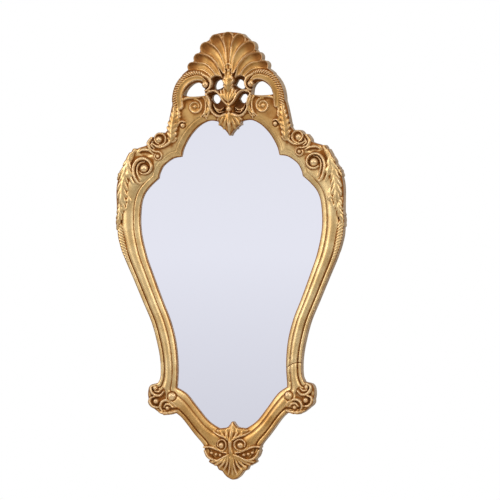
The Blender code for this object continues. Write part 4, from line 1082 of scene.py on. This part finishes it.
def raw_wood():
    """Bare wood on the back."""
    g = paint("raw_wood")
    grain = g.noise(3.0, 6.0, 0.65, g.stretched(60.0, 60.0, 6.0), 0.6)
    stain_and_shade = g.noise(9.0, 3.0, 0.5)
    tone = g.mix(g.ramp(grain, 0.3, 0.7), colour(150, 112, 74), colour(190, 152, 108))
    tone = g.mix(g.ramp(stain_and_shade, 0.45, 0.75, 0.0, 0.5), tone, colour(112, 80, 52))
    return g.shade(Base_Color=tone, Roughness=0.75, Normal=g.bump(grain, 0.4, 0.0006))


def silvered_glass():
    """The mirror itself."""
    g = paint("silvered_glass")
    # The tint is painted lighter towards the top: a painted gradient of light on the glass
    tone = g.mix(g.ramp(g.height(), -0.66, -0.10), colour(226, 227, 239), colour(233, 234, 245))
    return g.shade(Base_Color=tone, Metallic=1.0, Roughness=0.015)


def hardboard():
    """The board behind the glass."""
    g = paint("hardboard")
    fibre = g.noise(260.0, 6.0, 0.7, distortion=0.8)
    patch = g.noise(12.0, 3.0, 0.5)
    tone = g.mix(g.ramp(fibre, 0.3, 0.7), colour(116, 84, 56), colour(148, 112, 78))
    tone = g.mix(g.ramp(patch, 0.4, 0.7, 0.0, 0.4), tone, colour(98, 70, 46))
    return g.shade(Base_Color=tone, Roughness=0.7, Normal=g.bump(fibre, 0.3, 0.0003))


def plated_steel():
    """The hanger plate and the screws."""
    g = paint("plated_steel")
    brush = g.noise(2.0, vector=g.stretched(40.0, 400.0, 900.0))
    spots = g.noise(350.0, 3.0)
    tone = g.mix(g.ramp(spots, 0.6, 0.75, 0.0, 0.7), colour(178, 176, 172), colour(122, 98, 76))
    rough = g.ramp(brush, 0.3, 0.7, 0.28, 0.45)
    return g.shade(Base_Color=tone, Metallic=0.95, Roughness=rough, Normal=g.bump(brush, 0.15, 0.0002))


def make_camera():
    """The camera, aimed so that AIM_POINT falls on AIM_PIXEL."""
    pixels = CAMERA_DISTANCE / METRES_PER_PIXEL
    ahead = Vector((-math.sin(CAMERA_AZIMUTH), math.cos(CAMERA_AZIMUTH), 0))
    level_right = Vector((math.cos(CAMERA_AZIMUTH), math.sin(CAMERA_AZIMUTH), 0))
    level_up = Vector((0, 0, 1))
    right = level_right * math.cos(CAMERA_ROLL) - level_up * math.sin(CAMERA_ROLL)
    up = level_right * math.sin(CAMERA_ROLL) + level_up * math.cos(CAMERA_ROLL)
    across = (AIM_PIXEL[0] - PICTURE_SIZE / 2) / pixels
    rise = (PICTURE_SIZE / 2 - AIM_PIXEL[1]) / pixels
    forward = (ahead - across * right - rise * up).normalized()
    right = (right - right.dot(forward) * forward).normalized()
    up = right.cross(forward)
    camera = bpy.data.cameras.new("camera")
    camera.sensor_width = SENSOR
    camera.lens = pixels * SENSOR / PICTURE_SIZE
    obj = bpy.data.objects.new("camera", camera)
    bpy.context.scene.collection.objects.link(obj)
    turn = Matrix((right, up, -forward)).transposed()
    obj.matrix_world = Matrix.Translation(AIM_POINT - ahead * CAMERA_DISTANCE) @ turn.to_4x4()
    bpy.context.scene.camera = obj


def area_light(name, place, aim, size, power):
    """A rectangular light that faces its aim."""
    light = bpy.data.lights.new(name, "AREA")
    light.shape = "RECTANGLE"
    light.size, light.size_y = size
    light.energy = power
    obj = bpy.data.objects.new(name, light)
    bpy.context.scene.collection.objects.link(obj)
    obj.location = place
    obj.rotation_mode = "QUATERNION"
    obj.rotation_quaternion = (Vector(aim) - Vector(place)).to_track_quat("-Z", "Y")


def make_surroundings():
    """The white backdrop, the sky that lights the mirror, the floor and the lights."""
    world = bpy.data.worlds.new("studio")
    bpy.context.scene.world = world
    g = Graph(world)
    sky = g.add("ValToRGB")
    stops = sky.color_ramp.elements
    stops.remove(stops[1])
    for k, (height, value) in enumerate(SKY):
        stop = stops[0] if k == 0 else stops.new(height)
        stop.position, stop.color = height, (value, value, value, 1)
    rise = g.feed(g.add("MapRange"), Value=g.height("Generated"), From_Min=-1)
    g.feed(sky, Fac=rise.outputs["Result"])
    glow = g.feed(g.nodes["Background"], Color=sky.outputs["Color"])
    backdrop = g.feed(g.add("Background"), Color=(1, 1, 1, 1))
    shown = g.feed(g.add("MixShader"), Fac=g.add("LightPath").outputs["Is Camera Ray"])
    g.feed(shown, _1=glow.outputs["Background"], _2=backdrop.outputs["Background"])
    g.feed(g.nodes["World Output"], Surface=shown.outputs["Shader"])
    signs = ((-1, -1), (1, -1), (1, 1), (-1, 1))
    corners = [(x * FLOOR_REACH, y * FLOOR_REACH, FLOOR_HEIGHT) for x, y in signs]
    finish = paint("pale_floor").shade(Base_Color=FLOOR_COLOUR, Roughness=0.8)
    add_object("floor", corners, [(0, 1, 2, 3)], finish)
    for light in LIGHTS:
        area_light(*light)


def dress(node, material):
    """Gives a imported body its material."""
    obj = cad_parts[node]
    obj.data.materials.clear()
    obj.data.materials.append(material)


make_camera()
bpy.context.scene.view_settings.view_transform = "Standard"
make_surroundings()
carving = make_carving([gilding(), side_gilding(), raw_wood()])
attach(carving, "root")
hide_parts("carved_frame")
dress("mirror_glass", silvered_glass())
dress("backing_board", hardboard())
steel = plated_steel()
for node in ("hanger_plate", "hanger_screw_1", "hanger_screw_2", *BOARD_SCREWS):
    dress(node, steel)
